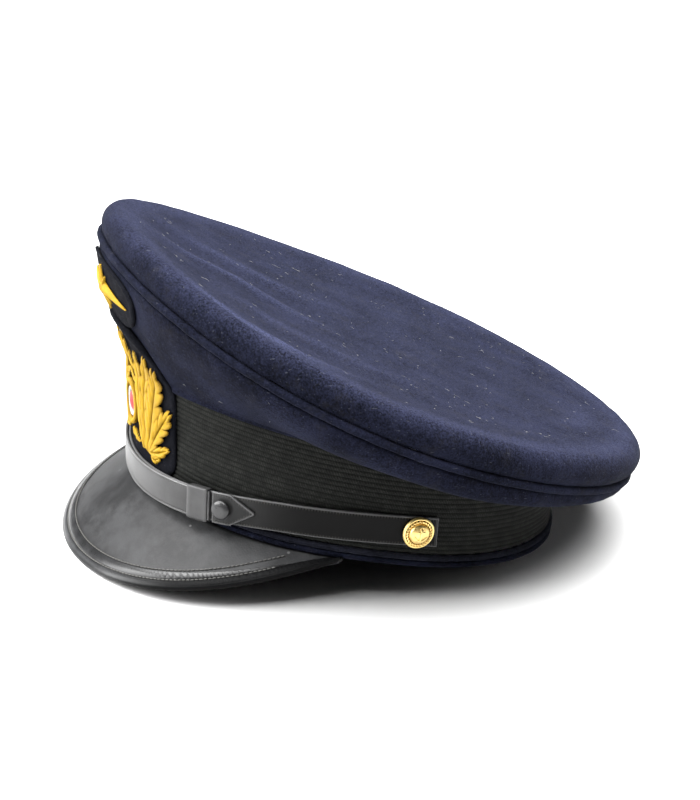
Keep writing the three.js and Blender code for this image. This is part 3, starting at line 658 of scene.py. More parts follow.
def crown_top():
    """Rows from the middle out over the top, round the roll and back in below."""
    turns = all_round(420)
    inset = np.concatenate([np.linspace(60, 26, 15), np.linspace(24, 6, 13)])[:, None] * MM
    core = np.linspace(0.03, 0.97, 26)[:, None]
    core_across, core_back = (core * side for side in crown_outline(turns, CROWN_CORE))
    ring_across, ring_back = crown_outline(turns, inset)
    across, back = np.vstack([core_across, ring_across]), np.vstack([core_back, ring_back])
    depth = np.vstack([0 * core + CROWN_CORE, inset])
    lift, worn = crown_relief(across, back, depth)
    top = crown_plane_point(across, back, lift)
    foot = -math.asin(1 - SEAM_HALF / CROWN_ROLL)
    angle = np.linspace(math.radians(86), foot, 20)[:, None]
    soft = 1 + 0.035 * uneven(crown_point(turns, 0, 0), 26 * MM, 43) * np.cos(angle) ** 2
    puckers = (0.12 * MM * uneven(crown_point(turns, 0, 0), 5 * MM, 44)
               * np.exp(-(angle - foot) / 0.35))
    radius = CROWN_ROLL * soft + puckers
    roll_inset = CROWN_ROLL - CROWN_PROUD - radius * np.cos(angle)
    rim_lift = CROWN_ROLL + (CROWN_ROLL + puckers) * np.sin(angle)
    first_lift = crown_relief(*crown_outline(turns, roll_inset[:1]), roll_inset[:1])[0]
    rim_lift = rim_lift + (first_lift - rim_lift[:1]) * smooth(angle, 0.2, 1.5)
    roll = crown_point(turns, roll_inset, rim_lift)
    inner_angle = np.linspace(foot - 0.6, 1.3, 9)[:, None]
    inner_radius = CROWN_ROLL - CROWN_WALL
    inner_roll = crown_point(turns, CROWN_ROLL - CROWN_PROUD - inner_radius * np.cos(inner_angle),
                             CROWN_ROLL + inner_radius * np.sin(inner_angle) + 0 * turns)
    inner_inset = np.array([20, 40, 60])[:, None] * MM
    inner_ring = crown_point(turns, inner_inset, CROWN_ROLL * 2 - CROWN_WALL - CROWN_DISH)
    inner_core = crown_plane_point(core_across[::-3], core_back[::-3],
                                   CROWN_ROLL * 2 - CROWN_WALL - CROWN_DISH)
    lip = roll[-1] + (inner_roll[0] - roll[-1]) * np.array([0.05, 0.15, 0.5, 0.9])[:, None, None]
    lip[..., 2] -= np.array([0, 0.1, 0.35, 0.5])[:, None] * MM
    below = np.vstack([lip, inner_roll, inner_ring, inner_core])
    # The roll is worn paler along the rim, and its upper side is also painted paler as painted light
    # from overhead.
    roll_wear_and_light = rim_wear(roll_inset) + 0.2 * smooth(angle, -0.1, 1.2)
    # The whole top is marked 0.2 paler than the side wall as painted light from overhead, on top of its
    # worn creases and rim.
    marks = np.vstack([0.2 + worn * 0.8, roll_wear_and_light, np.zeros(below.shape[:2])])
    work = Work()
    work.cap(work.grid(np.vstack([top, roll, below]), closed_columns=True, marks=marks))
    return work.finish("crown_cloth", navy_wool, "wool", "crown_top")


crown_top()

# ---- Visor ----
# Black leather moulded over a stiff core, with its flange sewn under the rim. The same leather
# is turned over its edge and held by two rows of stitches; the roll between them is puffed,
# and wrinkles where it bends hardest, toward its ends.

VISOR_TURN = math.radians(74)  # where its ends meet the band
VISOR_HALF_WIDTH = 88.4 * MM
VISOR_END_BACK = -29.8 * MM
VISOR_REACH = 94.4 * MM
VISOR_DROP = 41.5 * MM
VISOR_ROUND = 0.78  # below 1 the edge is squarer than a circle
VISOR_BULGE = 0.8 * MM
VISOR_ROOT = {"drop": 4.5 * MM, "out": 0.8 * MM, "ahead": -0.5 * MM}  # where it leaves the rim
VISOR_WALL = 2.2 * MM
EDGE_RADIUS = 1.25 * MM
EDGING_WIDTH = 9.3 * MM
STITCH_ROWS = [4.1 * MM, 8.9 * MM]  # in from the edge
STITCH_PITCH = 1.95 * MM
STITCH_RADIUS = 0.32 * MM
LEATHER_DARK = (0.0085, 0.0086, 0.0092, 1)
LEATHER_GRAIN = 0.7 * MM


def visor_edge(side):
    """The visor's outline, from -1 on the wearer's right over 0 in front to 1 on the left."""
    angle = side * np.pi / 2
    forward = np.abs(np.cos(angle)) ** VISOR_ROUND
    return np.stack([VISOR_HALF_WIDTH * np.sin(angle), VISOR_END_BACK - VISOR_REACH * forward,
                     0.9 * MM - VISOR_DROP * forward], -1)


def visor_line(side):
    """The line across the visor at a side: where it starts, its direction, length and normal."""
    ahead = np.cos(side * np.pi / 2) ** 2
    start = rim_point(side * VISOR_TURN, -GAP - VISOR_ROOT["drop"] * ahead,
                      VISOR_ROOT["out"] + (VISOR_ROOT["ahead"] - VISOR_ROOT["out"]) * ahead)
    chord = visor_edge(side) - start
    length = np.linalg.norm(chord, axis=-1)
    along = chord / length[..., None]
    normal = np.array([0.0, 0.0, 1.0]) - along * along[..., 2:]
    return start, along, length, normal / np.linalg.norm(normal, axis=-1, keepdims=True)


def visor_face(side, inset, lift=0.0):
    """A point some way in from the edge along its line, raised from the visor's face."""
    side, inset, lift = np.broadcast_arrays(side, inset, lift)
    start, along, length, normal = visor_line(side)
    arch = VISOR_BULGE * np.cos(side * np.pi / 2) * np.sin(np.pi * np.clip(1 - inset / length, 0, 1))
    return start + along * (length - inset)[..., None] + normal * (arch + lift)[..., None]


def even_sides(count, limit):
    """Sides that are evenly spaced along the visor's edge."""
    side = np.linspace(-limit, limit, 2001)
    run = run_along(visor_edge(side))
    return np.interp(np.linspace(0, run[-1], count), run, side)


def edge_distance(points):
    """How far in from the visor's edge each point is, and how far round from its front."""
    edge = visor_edge(even_sides(300, 1))
    away, where = nearest(points, edge)
    return away, (where - (len(edge) - 1) / 2) * np.linalg.norm(edge[1] - edge[0])


def edging_relief(away, place):
    """How far the turned leather stands over the visor: two puffs, sewn down between them."""
    bends = smooth(np.abs(place), 50 * MM, 105 * MM)
    wrinkle = (np.sin(place * 2 * np.pi / (2.4 * MM) + 5 * np.sin(place * 190) + away * 1100)
               + 0.7 * np.sin(place * 2 * np.pi / (1.35 * MM) + 4 * np.sin(place * 140) - away * 700))

    def puff(low, high, height):
        t = np.clip((away - low) / (high - low), 0, 1)
        return height * (4 * t * (1 - t)) ** 0.6 * (1 + 0.14 * bends * wrinkle)
    return MM * (0.12 + puff(0.9 * MM, STITCH_ROWS[0], 0.42) + puff(*STITCH_ROWS, 0.60)
                 - 0.5 * smooth(away, STITCH_ROWS[1], EDGING_WIDTH))


def leather_finish(name, pale, shine):
    """Black leather: pebbled grain, clouded with handling, paler where marked as worn.

    Its marks are how glossy it is, how worn, and how black; the black is painted shade."""
    hide = Finish(name, Specular_IOR_Level=shine, Coat_Roughness=0.25)
    pebbles = hide.node("ShaderNodeTexVoronoi", {"feature": "SMOOTH_F1"}, {
        "Vector": hide.place(), "Scale": 1 / LEATHER_GRAIN, "Smoothness": 0.7}, "Distance")
    handling = hide.noise(20 * MM, 4, rough=0.6)
    fine = hide.noise(0.7 * MM, 3, rough=0.7)
    cloudy = hide.noise(5 * MM, 4, rough=0.65)
    colour = (handling.step(0.35, 0.7) * 0.45 + (cloudy - 0.45) * 0.5 + (fine - 0.5) * 0.5
              + hide.mark(1) * (0.4 + 0.9 * fine)).between(LEATHER_DARK, pale)
    colour = (hide.specks(3.4 * MM, 0.05) * 0.4).between(colour, (0.20, 0.20, 0.20, 1))
    # Painted shade: near-black where marked, in the edging's stitch grooves and toward the wearer's left
    # end.
    colour = hide.mark(2).between(colour, (0.0022, 0.0022, 0.0024, 1))
    hide.bump(pebbles, 0.05 * MM)
    hide.feed(hide.shader.inputs["Coat Weight"], hide.mark(0))
    hide.bump(fine, 0.02 * MM)
    return hide.paint(colour, (0.40 + 0.14 * handling + 0.06 * fine) - 0.12 * hide.mark(0))


def visor():
    """Rows from the flange forward over the top and back underneath."""
    side = even_sides(360, 0.985)
    length = visor_line(side)[2]
    share = np.linspace(1, 0, 40)[:, None]
    inset = 4 * MM + share * (length - 4 * MM) * (length > 4 * MM)
    inset = np.minimum(inset, length * (0.3 + 0.7 * share))
    face = visor_face(side, inset)
    crease = 0.12 * MM * uneven(face, 30 * MM, 51)
    top = visor_face(side, inset, crease)
    under = visor_face(side, inset[::-4], -VISOR_WALL)
    tucked = rim_point(side * VISOR_TURN, -GAP, STRIP["inside"])
    rows = np.vstack([tucked[None], top, under, tucked[None] - np.array([0, 0, 1.6 * MM])])
    work = Work()
    work.cap(work.grid(rows, closed_rows=True).T)
    return work.finish("visor_hide", visor_leather, "visor_leather", "visor")


def visor_edging():
    """Rows from the inner stitches out, round the edge and back in below."""
    side = even_sides(620, 1)
    length = visor_line(side)[2]
    shrink = np.minimum(1, length / (EDGING_WIDTH + 1 * MM))
    flat = np.linspace(EDGING_WIDTH, EDGE_RADIUS, 34)[:, None]
    away, place = edge_distance(visor_face(side, flat * shrink))
    lift = edging_relief(away, place)
    top = visor_face(side, flat * shrink, lift)
    angle = np.radians(np.linspace(78, -90, 11))[:, None]
    bend = visor_face(side, EDGE_RADIUS * (1 - np.cos(angle)) * shrink,
                      lift[-1] + EDGE_RADIUS * (np.sin(angle) - 1))
    under = visor_face(side, np.linspace(2, 5.5, 4)[:, None] * MM * shrink,
                       lift[-1] - 2 * EDGE_RADIUS)
    inside = visor_face(side, np.array([[5.5], [9.1]]) * MM * shrink, -1.2 * MM)
    # Painted shade: the stitch grooves, and the edging toward the wearer's left end, are marked
    # near-black, and the paler crest of the outer puff fades there.
    bends = smooth(place, 15 * MM, 85 * MM)
    gloss = 0.75 * (1 - bends) + peak(away, 6.6 * MM, 1.5 * MM) * bends
    worn = 0.7 * peak(away, 2.4 * MM, 0.8 * MM) * (1 - 0.5 * bends)
    groove_shade = sum(peak(away, row, 0.42 * MM) for row in STITCH_ROWS)
    marks = np.stack([gloss, worn, np.minimum(0.8 * groove_shade + 0.92 * bends, 1)], -1)
    # Round the turned edge it is paler; toward the wearer's left end that paleness fades and the edge is
    # painted near-black as painted shade.
    leftward = smooth(np.linspace(-1, 1, len(side)), 0.1, 0.5)
    paleness = 0.9 * smooth(np.degrees(angle), 30, -40) * (1 - 0.9 * leftward)
    turned = np.stack(np.broadcast_arrays(0.7 * (1 - leftward), paleness, 0.95 * leftward), -1)
    hidden = np.zeros((len(under) + len(inside), len(side), 3))
    work = Work()
    work.cap(work.grid(np.vstack([top, bend, under, inside]), closed_rows=True,
                       marks=np.vstack([marks, turned, hidden])).T)
    return work.finish("visor_edging", edging_leather, "visor_leather", "visor_binding")


def stitch_row(work, distance):
    """Short threads that lie end to end in a row at one distance from the edge."""
    side = even_sides(1200, 1)
    length = visor_line(side)[2]
    inset = np.linspace(0, 1, 24)[:, None] * np.minimum(length, 2.2 * distance)
    away = edge_distance(visor_face(side, inset))[0]
    meets = away[-1] > distance * 1.05
    side, inset, away = side[meets], inset[:, meets], away[:, meets]
    depth = np.array([np.interp(distance, away[:, k], inset[:, k]) for k in range(len(side))])
    here = visor_face(side, depth, edging_relief(distance + 0 * side, 0 * side) + 0.10 * MM)
    normal = visor_line(side)[3]
    run = run_along(here)
    starts = np.arange(0.5 * STITCH_PITCH, run[-1] - 1.5 * STITCH_PITCH, STITCH_PITCH)
    places = starts[:, None] + np.linspace(0.08, 0.92, 6) * STITCH_PITCH

    def along(values):
        return np.stack([np.interp(places, run, values[:, axis]) for axis in range(3)], -1)
    swell = np.sin(np.pi * np.linspace(0.12, 0.88, 6)) ** 0.5
    paths = along(here) + along(normal) * (0.16 * MM * (swell - 0.7))[:, None]
    work.tubes(paths, along(normal), STITCH_RADIUS * swell, 6)


def visor_stitches():
    work = Work()
    for distance in STITCH_ROWS:
        stitch_row(work, distance)
    return work.finish("visor_stitches", thread_finish("visor_thread", (0.045, 0.044, 0.040, 1),
                                                       (0.11, 0.108, 0.10, 1), 0.4), "visor_leather")


def thread_finish(name, dark, pale, rough, **sockets):
    """Thread: paler toward where each one is marked, with a little dirt and a fine twist."""
    thread = Finish(name, **sockets)
    dirt = thread.noise(6 * MM, 3)
    fine = thread.noise(0.2 * MM, 2)
    thread.bump(fine, 0.03 * MM)
    return thread.paint((0.6 * thread.mark() + 0.5 * dirt).step(0, 1).between(dark, pale),
                        rough + 0.1 * fine)


visor_leather = leather_finish("visor_leather", (0.040, 0.041, 0.043, 1), 0.27)
edging_leather = leather_finish("edging_leather", (0.048, 0.049, 0.051, 1), 0.05)
visor()
visor_edging()
visor_stitches()

# ---- Chin strap ----
# Two halves of black leather that hang over the visor's root and overlap in front. The face of
# each has a pressed line inside its border, ending square behind the button.

STRAP_HALF = 6.8 * MM
STRAP_THICK = 1.3 * MM
PRESSED_LINE = 1.15 * MM  # in from the border
STRAP_ROWS = [
    {"turn": 0, "height": 0.6, "lean": 0, "stand": 1.7},
    {"turn": 30, "height": 4.2, "lean": 3, "stand": 2.8},
    {"turn": 60, "height": 12.6, "lean": 0, "stand": 2.1},
    {"turn": 90, "height": 16.8, "lean": 0, "stand": 0.6},
    {"turn": 120, "height": 15.5, "lean": 0, "stand": 0.5},
]
STRAP_END = 97.4  # degrees, as are the turns below
STRAP_UNDER_END = 30.5
STRAP_OVER_END = 39
STRAP_LENGTH = 1.693 * MM  # of one degree of turn along the strap
OVER = STRAP_THICK + GAP
KEEPER = {"from": 32.2, "to": 38.6, "thick": 0.6 * MM}
TAB = {"from": 39.9, "shoulder": 45, "tip": 51.5, "thick": 1.2 * MM, "half": 7.2 * MM}


def strap_point(degrees, up, depth):
    """A point on the strap: up or down from its middle line, some depth out from its back."""
    degrees, up, depth = np.broadcast_arrays(degrees, up, depth)
    turn = np.radians(degrees)
    lean = np.radians(column(STRAP_ROWS, "lean", turn))
    out = MM * column(STRAP_ROWS, "stand", turn) + depth * np.cos(lean) - up * np.sin(lean)
    height = MM * column(STRAP_ROWS, "height", turn) + up * np.cos(lean) + depth * np.sin(lean)
    return band_point(turn, height, out)


def pressed(border, thick):
    """The height of a leather face: rounded at its border, with a pressed line inside it."""
    rounding = np.sqrt(np.clip(1 - (1 - np.clip(border / (0.5 * MM), 0, 1)) ** 2, 0, 1))
    line = peak(border, PRESSED_LINE, 0.22 * MM)
    crown = 0.08 * MM * smooth(border, 1.3 * MM, 5 * MM)
    return thick * (0.35 + 0.65 * rounding) - 0.24 * MM * line + crown


def leather_strip(work, degrees, half, thick, back, ends=(True, True)):
    """A strip of leather along the strap. half and back are its half width and its depth."""
    shown = np.array([0, 0.15, 0.35, 0.6, 0.85, 1.05, 1.25, 1.5, 2.0, 3.0, 4.5]) * MM / STRAP_HALF
    across = np.concatenate([1 - shown, [0], (shown - 1)[::-1]])[:, None]
    up = across * half
    border = (1 - np.abs(across)) * half
    run = (degrees - degrees[0]) * STRAP_LENGTH
    if ends[0]:
        border = np.minimum(border, run + 0 * border)
    if ends[1]:
        border = np.minimum(border, run[-1] - run + 0 * border)
    away = uneven(strap_point(degrees, up, 0), 12 * MM, 61) * 0.05 * MM
    face = strap_point(degrees, up, back + pressed(border, thick) + away)
    rear = strap_point(degrees, np.array([[-0.97], [0], [0.97]]) * half, back)
    # Paler along the border, and painted pale toward the front as a painted highlight.
    front = smooth(np.abs(degrees), 66, 14)
    worn = 0.75 * peak(border, 0.3 * MM, 0.35 * MM) + 0.46 * front
    marks = np.stack(np.broadcast_arrays(run, worn, peak(border, PRESSED_LINE, 0.3 * MM)), -1)
    work.cap(work.grid(np.vstack([face, rear]), closed_rows=True,
                       marks=np.vstack([marks, np.zeros((3, len(degrees), 3))])).T)


def strap_turns(start, end):
    """Turns along a length of strap, close together at both of its ends."""
    close = np.array([0, 0.2, 0.4, 0.65, 0.95, 1.15, 1.35, 1.7]) * MM / STRAP_LENGTH
    middle = np.linspace(start + 1.4, end - 1.4, int((end - start - 2.8) * 2.5))
    return np.concatenate([start + close, middle, end - close[::-1]])


def strap_finish():
    """Smooth black leather, glossier and paler where marked, along its edges and toward the front as a
    painted highlight, with tiny stitches in its line.
    """
    hide = Finish("strap_leather", Specular_IOR_Level=0.05, Coat_Roughness=0.24)
    run, worn, dots = (hide.mark(axis) for axis in range(3))
    handling = hide.noise(9 * MM, 4, rough=0.6)
    fine = hide.noise(0.3 * MM, 3)
    stitch = (run.wave(1.25 * MM) * 0.5 + 0.5).step(0.35, 0.7) * dots
    # Pale grey where marked: along the edges, and at the front, where it is a painted highlight.
    colour = (worn * (0.4 + 0.6 * handling)).between((0.0030, 0.0030, 0.0030, 1),
                                                     (0.150, 0.150, 0.152, 1))
    colour = (stitch * 0.5).between(colour, (0.07, 0.068, 0.062, 1))
    hide.bump(stitch, 0.12 * MM)
    hide.feed(hide.shader.inputs["Coat Weight"], 0.04 + 0.75 * worn)
    hide.bump(fine, 0.035 * MM)
    return hide.paint(colour, 0.27 + 0.16 * handling + 0.08 * fine)


strap_leather = strap_finish()


def strap_left():
    work = Work()
    leather_strip(work, strap_turns(-STRAP_UNDER_END, STRAP_END), STRAP_HALF, STRAP_THICK, 0)
    return work.finish("strap_left_half", strap_leather, "strap_leather", "strap_left")


def strap_right():
    degrees = strap_turns(-STRAP_END, STRAP_OVER_END)
    work = Work()
    leather_strip(work, degrees, STRAP_HALF, STRAP_THICK,
                  OVER * smooth(degrees, -TAB["from"], -KEEPER["from"]))
    return work.finish("strap_right_half", strap_leather, "strap_leather", "strap_right")


strap_left()
strap_right()

# ---- Keepers, tabs and studs ----
# On each side a loop holds the two halves together, and beside it lies a stitched tab with an
# arrow tip, pinned by a black painted stud.

STUD = {"turn": 43.1, "radius": 4.3 * MM, "height": 2.4 * MM}
SIDES = [("left", 1), ("right", -1)]


def keeper(side, sign):
    """A loop with rounded corners round both layers of the strap."""
    turns = sign * np.array([0.0, 0.04, 0.12, 0.25, 0.5, 0.75, 0.88, 0.96, 1.0])
    turns = sign * KEEPER["from"] + turns * (KEEPER["to"] - KEEPER["from"])
    lift = KEEPER["thick"] * np.array([0.35, 0.75, 0.96, 1, 1.04, 1, 0.96, 0.75, 0.35])
    degrees = np.concatenate([turns, turns[::-1]])[:, None]
    height = np.concatenate([lift, 0 * lift])[:, None]
    half, low, high, corner = STRAP_HALF + GAP, -GAP, 2 * (STRAP_THICK + GAP), 0.5 * MM
    up, depth, lean = [], [], []
    for quarter, (a, b) in enumerate([(half, high), (-half, high), (-half, low), (half, low)]):
        angle = np.radians(np.linspace(0, 90, 5)) + quarter * np.pi / 2
        up.extend(a - corner * np.sign(a) + corner * np.cos(angle))
        depth.extend((b - corner if quarter < 2 else b + corner) + corner * np.sin(angle))
        lean.extend(angle)
        if quarter % 2 == 0:
            long = np.linspace(half, -half, 14)[2:-2] * (1 if quarter == 0 else -1)
            up.extend(long)
            depth.extend(0 * long + b)
            lean.extend(0 * long + np.pi * (0.5 + quarter))
    up, depth, lean = np.array(up), np.array(depth), np.array(lean)
    points = strap_point(degrees, up + height * np.cos(lean), depth + height * np.sin(lean))
    # The loop's outer face is paler, most toward its two ends.
    paleness = np.array([0.7, 0.6, 0.5, 0.42, 0.42, 0.42, 0.5, 0.55, 0.6])
    worn = np.concatenate([paleness, 0 * paleness])[:, None] + 0 * up
    work = Work()
    work.grid(points, True, True, np.stack([0 * worn, worn, 0 * worn], -1))
    return work.finish(f"keeper_loop_{side}", strap_leather, "strap_leather", f"keeper_{side}")


def tab(side, sign):
    """A short strip over the strap, narrowed to a point."""
    degrees = strap_turns(TAB["from"], TAB["tip"])
    half = np.interp(degrees, [TAB["shoulder"], TAB["tip"]], [TAB["half"], 0.5 * MM])
    work = Work()
    leather_strip(work, sign * degrees, half, TAB["thick"], OVER)
    return work.finish(f"arrow_tab_{side}", strap_leather, "strap_leather", f"tab_{side}")


def face_out(degrees, depth):
    """Maps across, up and out, from a place on the strap, to points; out is level."""
    turn = np.radians(degrees)
    base = strap_point(degrees, 0, depth)
    across = np.array([np.cos(turn), np.sin(turn), 0])

    def place(x, y, z):
        x, y, z = np.broadcast_arrays(x, y, z)
        return (base + x[..., None] * across + y[..., None] * np.array([0, 0, 1])
                + z[..., None] * outward(np.array(turn)))
    return place


def lathe(work, place, profile, count=48, marks=None):
    """A form turned from a profile of radius and height rows, closed at its first and last."""
    angle = np.linspace(0, 2 * np.pi, count, endpoint=False)
    radius, height = (np.array(profile)[:, axis, None] for axis in range(2))
    shown = None if marks is None else np.array(marks)[:, None] + 0 * angle
    work.cap(work.grid(place(radius * np.cos(angle), radius * np.sin(angle), height),
                       closed_columns=True, marks=shown))


def stud(side, sign):
    """A low dome on a short neck."""
    radius, height = STUD["radius"], STUD["height"]
    angle = np.radians(np.linspace(0, 84, 12))
    dome = [(radius * (0.30 + 0.70 * np.cos(a)), height * (0.42 + 0.58 * np.sin(a))) for a in angle]
    work = Work()
    lathe(work, face_out(sign * STUD["turn"], OVER + TAB["thick"] + 3 * GAP),
          [(0.05 * radius, 0), (0.86 * radius, 0), (0.9 * radius, 0.25 * height),
           (0.98 * radius, 0.32 * height), *dome, (0.05 * radius, height)])
    return work.finish(f"stud_head_{side}", stud_paint, "stud_paint", f"stud_{side}")


stud_paint = Finish("stud_paint", Specular_IOR_Level=0.5)
stud_paint.bump(stud_paint.noise(2 * MM, 2), 0.02 * MM)
stud_paint.paint(stud_paint.noise(3 * MM, 3).between((0.008, 0.008, 0.009, 1), (0.028, 0.028, 0.029, 1)),
                 0.22 + 0.15 * stud_paint.noise(2 * MM, 3))
for side, sign in SIDES:
    keeper(side, sign)
    tab(side, sign)
    stud(side, sign)

# ---- Buttons ----
# Gilt dome buttons with an anchor inside a ring of rope, one at each end of the strap. Their
# gilding has browned in the hollows and is rubbed bright on whatever stands proud.

BUTTON = {"turn": 91.8, "radius": 7 * MM, "height": 4.4 * MM, "wall": 1.3 * MM}
ROPE = {"strands": 26, "at": 0.76, "sway": 0.055, "lay": 0.09, "height": 1.95 * MM, "thick": 0.42}


def gilt_finish():
    """Gilding rubbed bright on whatever stands proud and browned in the hollows."""
    gilt = Finish("gilt", Metallic=1.0)
    tarnish = gilt.noise(2.2 * MM, 4, rough=0.6)
    bright = (gilt.mark() + 0.35 * tarnish).step(0.1, 0.85)
    gilt.bump(tarnish, 0.03 * MM)
    return gilt.paint(bright.between((0.48, 0.26, 0.065, 1), (1.0, 0.76, 0.30, 1)),
                      0.48 - 0.10 * bright + 0.10 * tarnish)


gilt = gilt_finish()


def button(side, sign):
    """A lathed dome and rim, with the rope's strands and the anchor laid on it."""
    place = face_out(sign * BUTTON["turn"], STRAP_THICK + GAP)
    radius, height = BUTTON["radius"], BUTTON["height"]

    def dome(away):
        return BUTTON["wall"] + (height - BUTTON["wall"]) * np.cos(away / radius * np.pi / 2)
    shown = np.linspace(0.58, 0.02, 9) * radius
    rim = [(0.05, 0, 0), (0.90, 0, 0), (0.985, 0.3, 0.4), (1.0, 0.8, 0.8), (0.995, 1.3, 0.9),
           (0.96, 1.75, 1), (0.91, 1.95, 1), (0.865, 1.8, 0.6), (0.84, 1.5, 0), (0.68, 1.6, 0),
           (0.64, 2.3, 0.5), (0.62, 2.6, 0.9)]
    work = Work()
    lathe(work, place, [(r * radius, h * MM) for r, h, _ in rim] + [(a, dome(a)) for a in shown],
          64, [m for *_, m in rim] + [0.45] * len(shown))

    def cord(x, y, z, thick, sides, mark):
        ahead = place(0 * x, 0 * x, 1 + 0 * x) - place(0, 0, 0)
        work.tubes(place(x, y, z)[None], ahead[None], thick * MM, sides, marks=[mark])

    def raised(x, y, thick):
        x, y = x * MM, y * MM
        cord(x, y, dome(np.hypot(x, y)) + 0.12 * MM, thick, 8, 1.0)
    for strand in range(ROPE["strands"]):
        lay = strand * 2 * np.pi / ROPE["strands"] + np.linspace(-ROPE["lay"], ROPE["lay"], 5)
        reach = (ROPE["at"] + np.linspace(-ROPE["sway"], ROPE["sway"], 5)) * radius
        cord(reach * np.cos(lay), reach * np.sin(lay), ROPE["height"] + 0 * lay, ROPE["thick"], 6, 0.55)
    line = np.linspace(-1, 1, 9)
    arms = np.radians(np.linspace(200, 340, 15))
    eye = np.linspace(0, 2 * np.pi, 33)
    raised(0 * line, 2.4 * line, 0.40)
    raised(1.6 * line, 1.5 + 0 * line, 0.32)
    raised(2.7 * np.cos(arms), 0.3 + 2.7 * np.sin(arms),
           np.interp(np.abs(arms - 1.5 * np.pi), [0, 1.2], [0.42, 0.3]))
    raised(0.62 * np.cos(eye), 2.9 + 0.62 * np.sin(eye), 0.22)
    return work.finish(f"anchor_button_{side}", gilt, "gilt", f"button_{side}")


for side, sign in SIDES:
    button(side, sign)

# ---- Patches ----
# Two shapes of near-black felt on the front, one over the band for the wreath and one over the
# side wall for the badge, each with a soft edge that stands a little off the cloth.

FRONT_RADIUS = 97 * MM  # turns a distance across the band into a turn
PANEL_RADIUS = 112 * MM  # and one across the side wall
PATCH_BACK = 0.5 * MM
PATCH_THICK = 1 * MM
ON_PATCH = PATCH_BACK + PATCH_THICK + 0.25 * MM
WREATH_PATCH = {"height": 36, "lift": 1.6, "outline": [
    (30, 7.5), (39, 10), (42, 17), (42, 32), (42, 46), (37, 53), (31, 60), (24, 65.5), (12, 68)]}
BADGE_PATCH = {"height": 81, "lift": 0, "outline": [
    (16, 69.8), (26, 72.5), (31, 80), (29, 87), (16, 91.2)]}


def front_face(turn, height):
    """The cap's front at a height above the rim: the band, and the side wall over it."""
    low, high = np.zeros(turn.shape), np.ones(turn.shape)
    for _ in range(18):
        middle = (low + high) / 2
        above = panel_point(turn, middle)[0][..., 2] > height
        low, high = np.where(above, middle, low), np.where(above, high, middle)
    return np.where((height <= lip_height(turn))[..., None], band_point(turn, height),
                    panel_point(turn, low)[0])


def on_front(across, height, away, radius=FRONT_RADIUS):
    """A place on the front drawn flat: across, up, and away from the cloth, and its normal."""
    across, height, away = np.broadcast_arrays(across, height, away)
    reach = 3 * MM  # half the distance over which the slope is taken
    side, rise = (front_face((across + x) / radius, height + z)
                  - front_face((across - x) / radius, height - z) for x, z in ((reach, 0), (0, reach)))
    normal = np.cross(side, rise)
    normal /= np.linalg.norm(normal, axis=-1, keepdims=True)
    return front_face(across / radius, height) + normal * away[..., None], normal


def smooth_line(corners, count, closed=False):
    """Evenly spaced places on a smooth curve through corners."""
    corners = np.array(corners, float)
    ends = (corners[-1:], corners[:2]) if closed else (2 * corners[:1] - corners[1:2],
                                                       2 * corners[-1:] - corners[-2:-1])
    hull = np.vstack([ends[0], corners, ends[1]])
    t = np.linspace(0, 1, 20, endpoint=False)[:, None]
    parts = [b + 0.5 * t * (c - a + t * (2 * a - 5 * b + 4 * c - d + t * (3 * (b - c) + d - a)))
             for a, b, c, d in zip(hull[:-3], hull[1:-2], hull[2:-1], hull[3:])]
    curve = np.vstack(parts + [hull[-2:-1]])
    run = run_along(curve)
    places = np.linspace(0, run[-1], count, endpoint=not closed)
    return np.stack([np.interp(places, run, curve[:, axis]) for axis in range(2)], -1)


def patch(name, node, row, radius):
    """Rings from the middle out over a felt shape, and back in under it."""
    half = [(x, y - row["height"]) for x, y in row["outline"]]
    outline = smooth_line(half + [(-x, y) for x, y in half[::-1]], 200, closed=True) * MM
    part = np.concatenate([np.linspace(0.05, 0.9, 16), [0.93, 0.955, 0.975, 0.99, 1.0]])[:, None]
    across, up = part * outline[:, 0], part * outline[:, 1]
    height = row["height"] * MM + up
    flat = np.stack([across, height, 0 * up], -1)
    edge = np.interp(part, [0.9, 0.955, 0.985, 1], [0, 0.35 * MM, 0.15 * MM, -0.45 * MM])
    lift = row["lift"] * MM * smooth(up, 20 * MM, 31 * MM) * smooth(part, 0.6, 1)
    away = PATCH_BACK + PATCH_THICK + edge + lift + 0.10 * MM * uneven(flat, 4 * MM, 71)
    top = on_front(across, height, away, radius)[0]
    part = np.array([1.0, 0.6, 0.05])[:, None]
    under = on_front(part * outline[:, 0], row["height"] * MM + part * outline[:, 1],
                     PATCH_BACK * 0.4, radius)[0]
    work = Work()
    work.cap(work.grid(np.vstack([top, under]), closed_columns=True))
    return work.finish(name, patch_felt, "patch_cloth", node)


patch_felt = wool_finish("patch_felt", (0.0030, 0.0032, 0.0045, 1), (0.0075, 0.008, 0.011, 1), 0)
patch("wreath_felt", "wreath_patch", WREATH_PATCH, FRONT_RADIUS)
patch("badge_felt", "badge_patch", BADGE_PATCH, PANEL_RADIUS)

# ---- Wreath ----
# Sprays of oak leaves in gold-yellow silk, mirrored about the middle. Each leaf is satin stitch
# over padding: threads run outward and forward from its vein, longer and shorter in lobes.

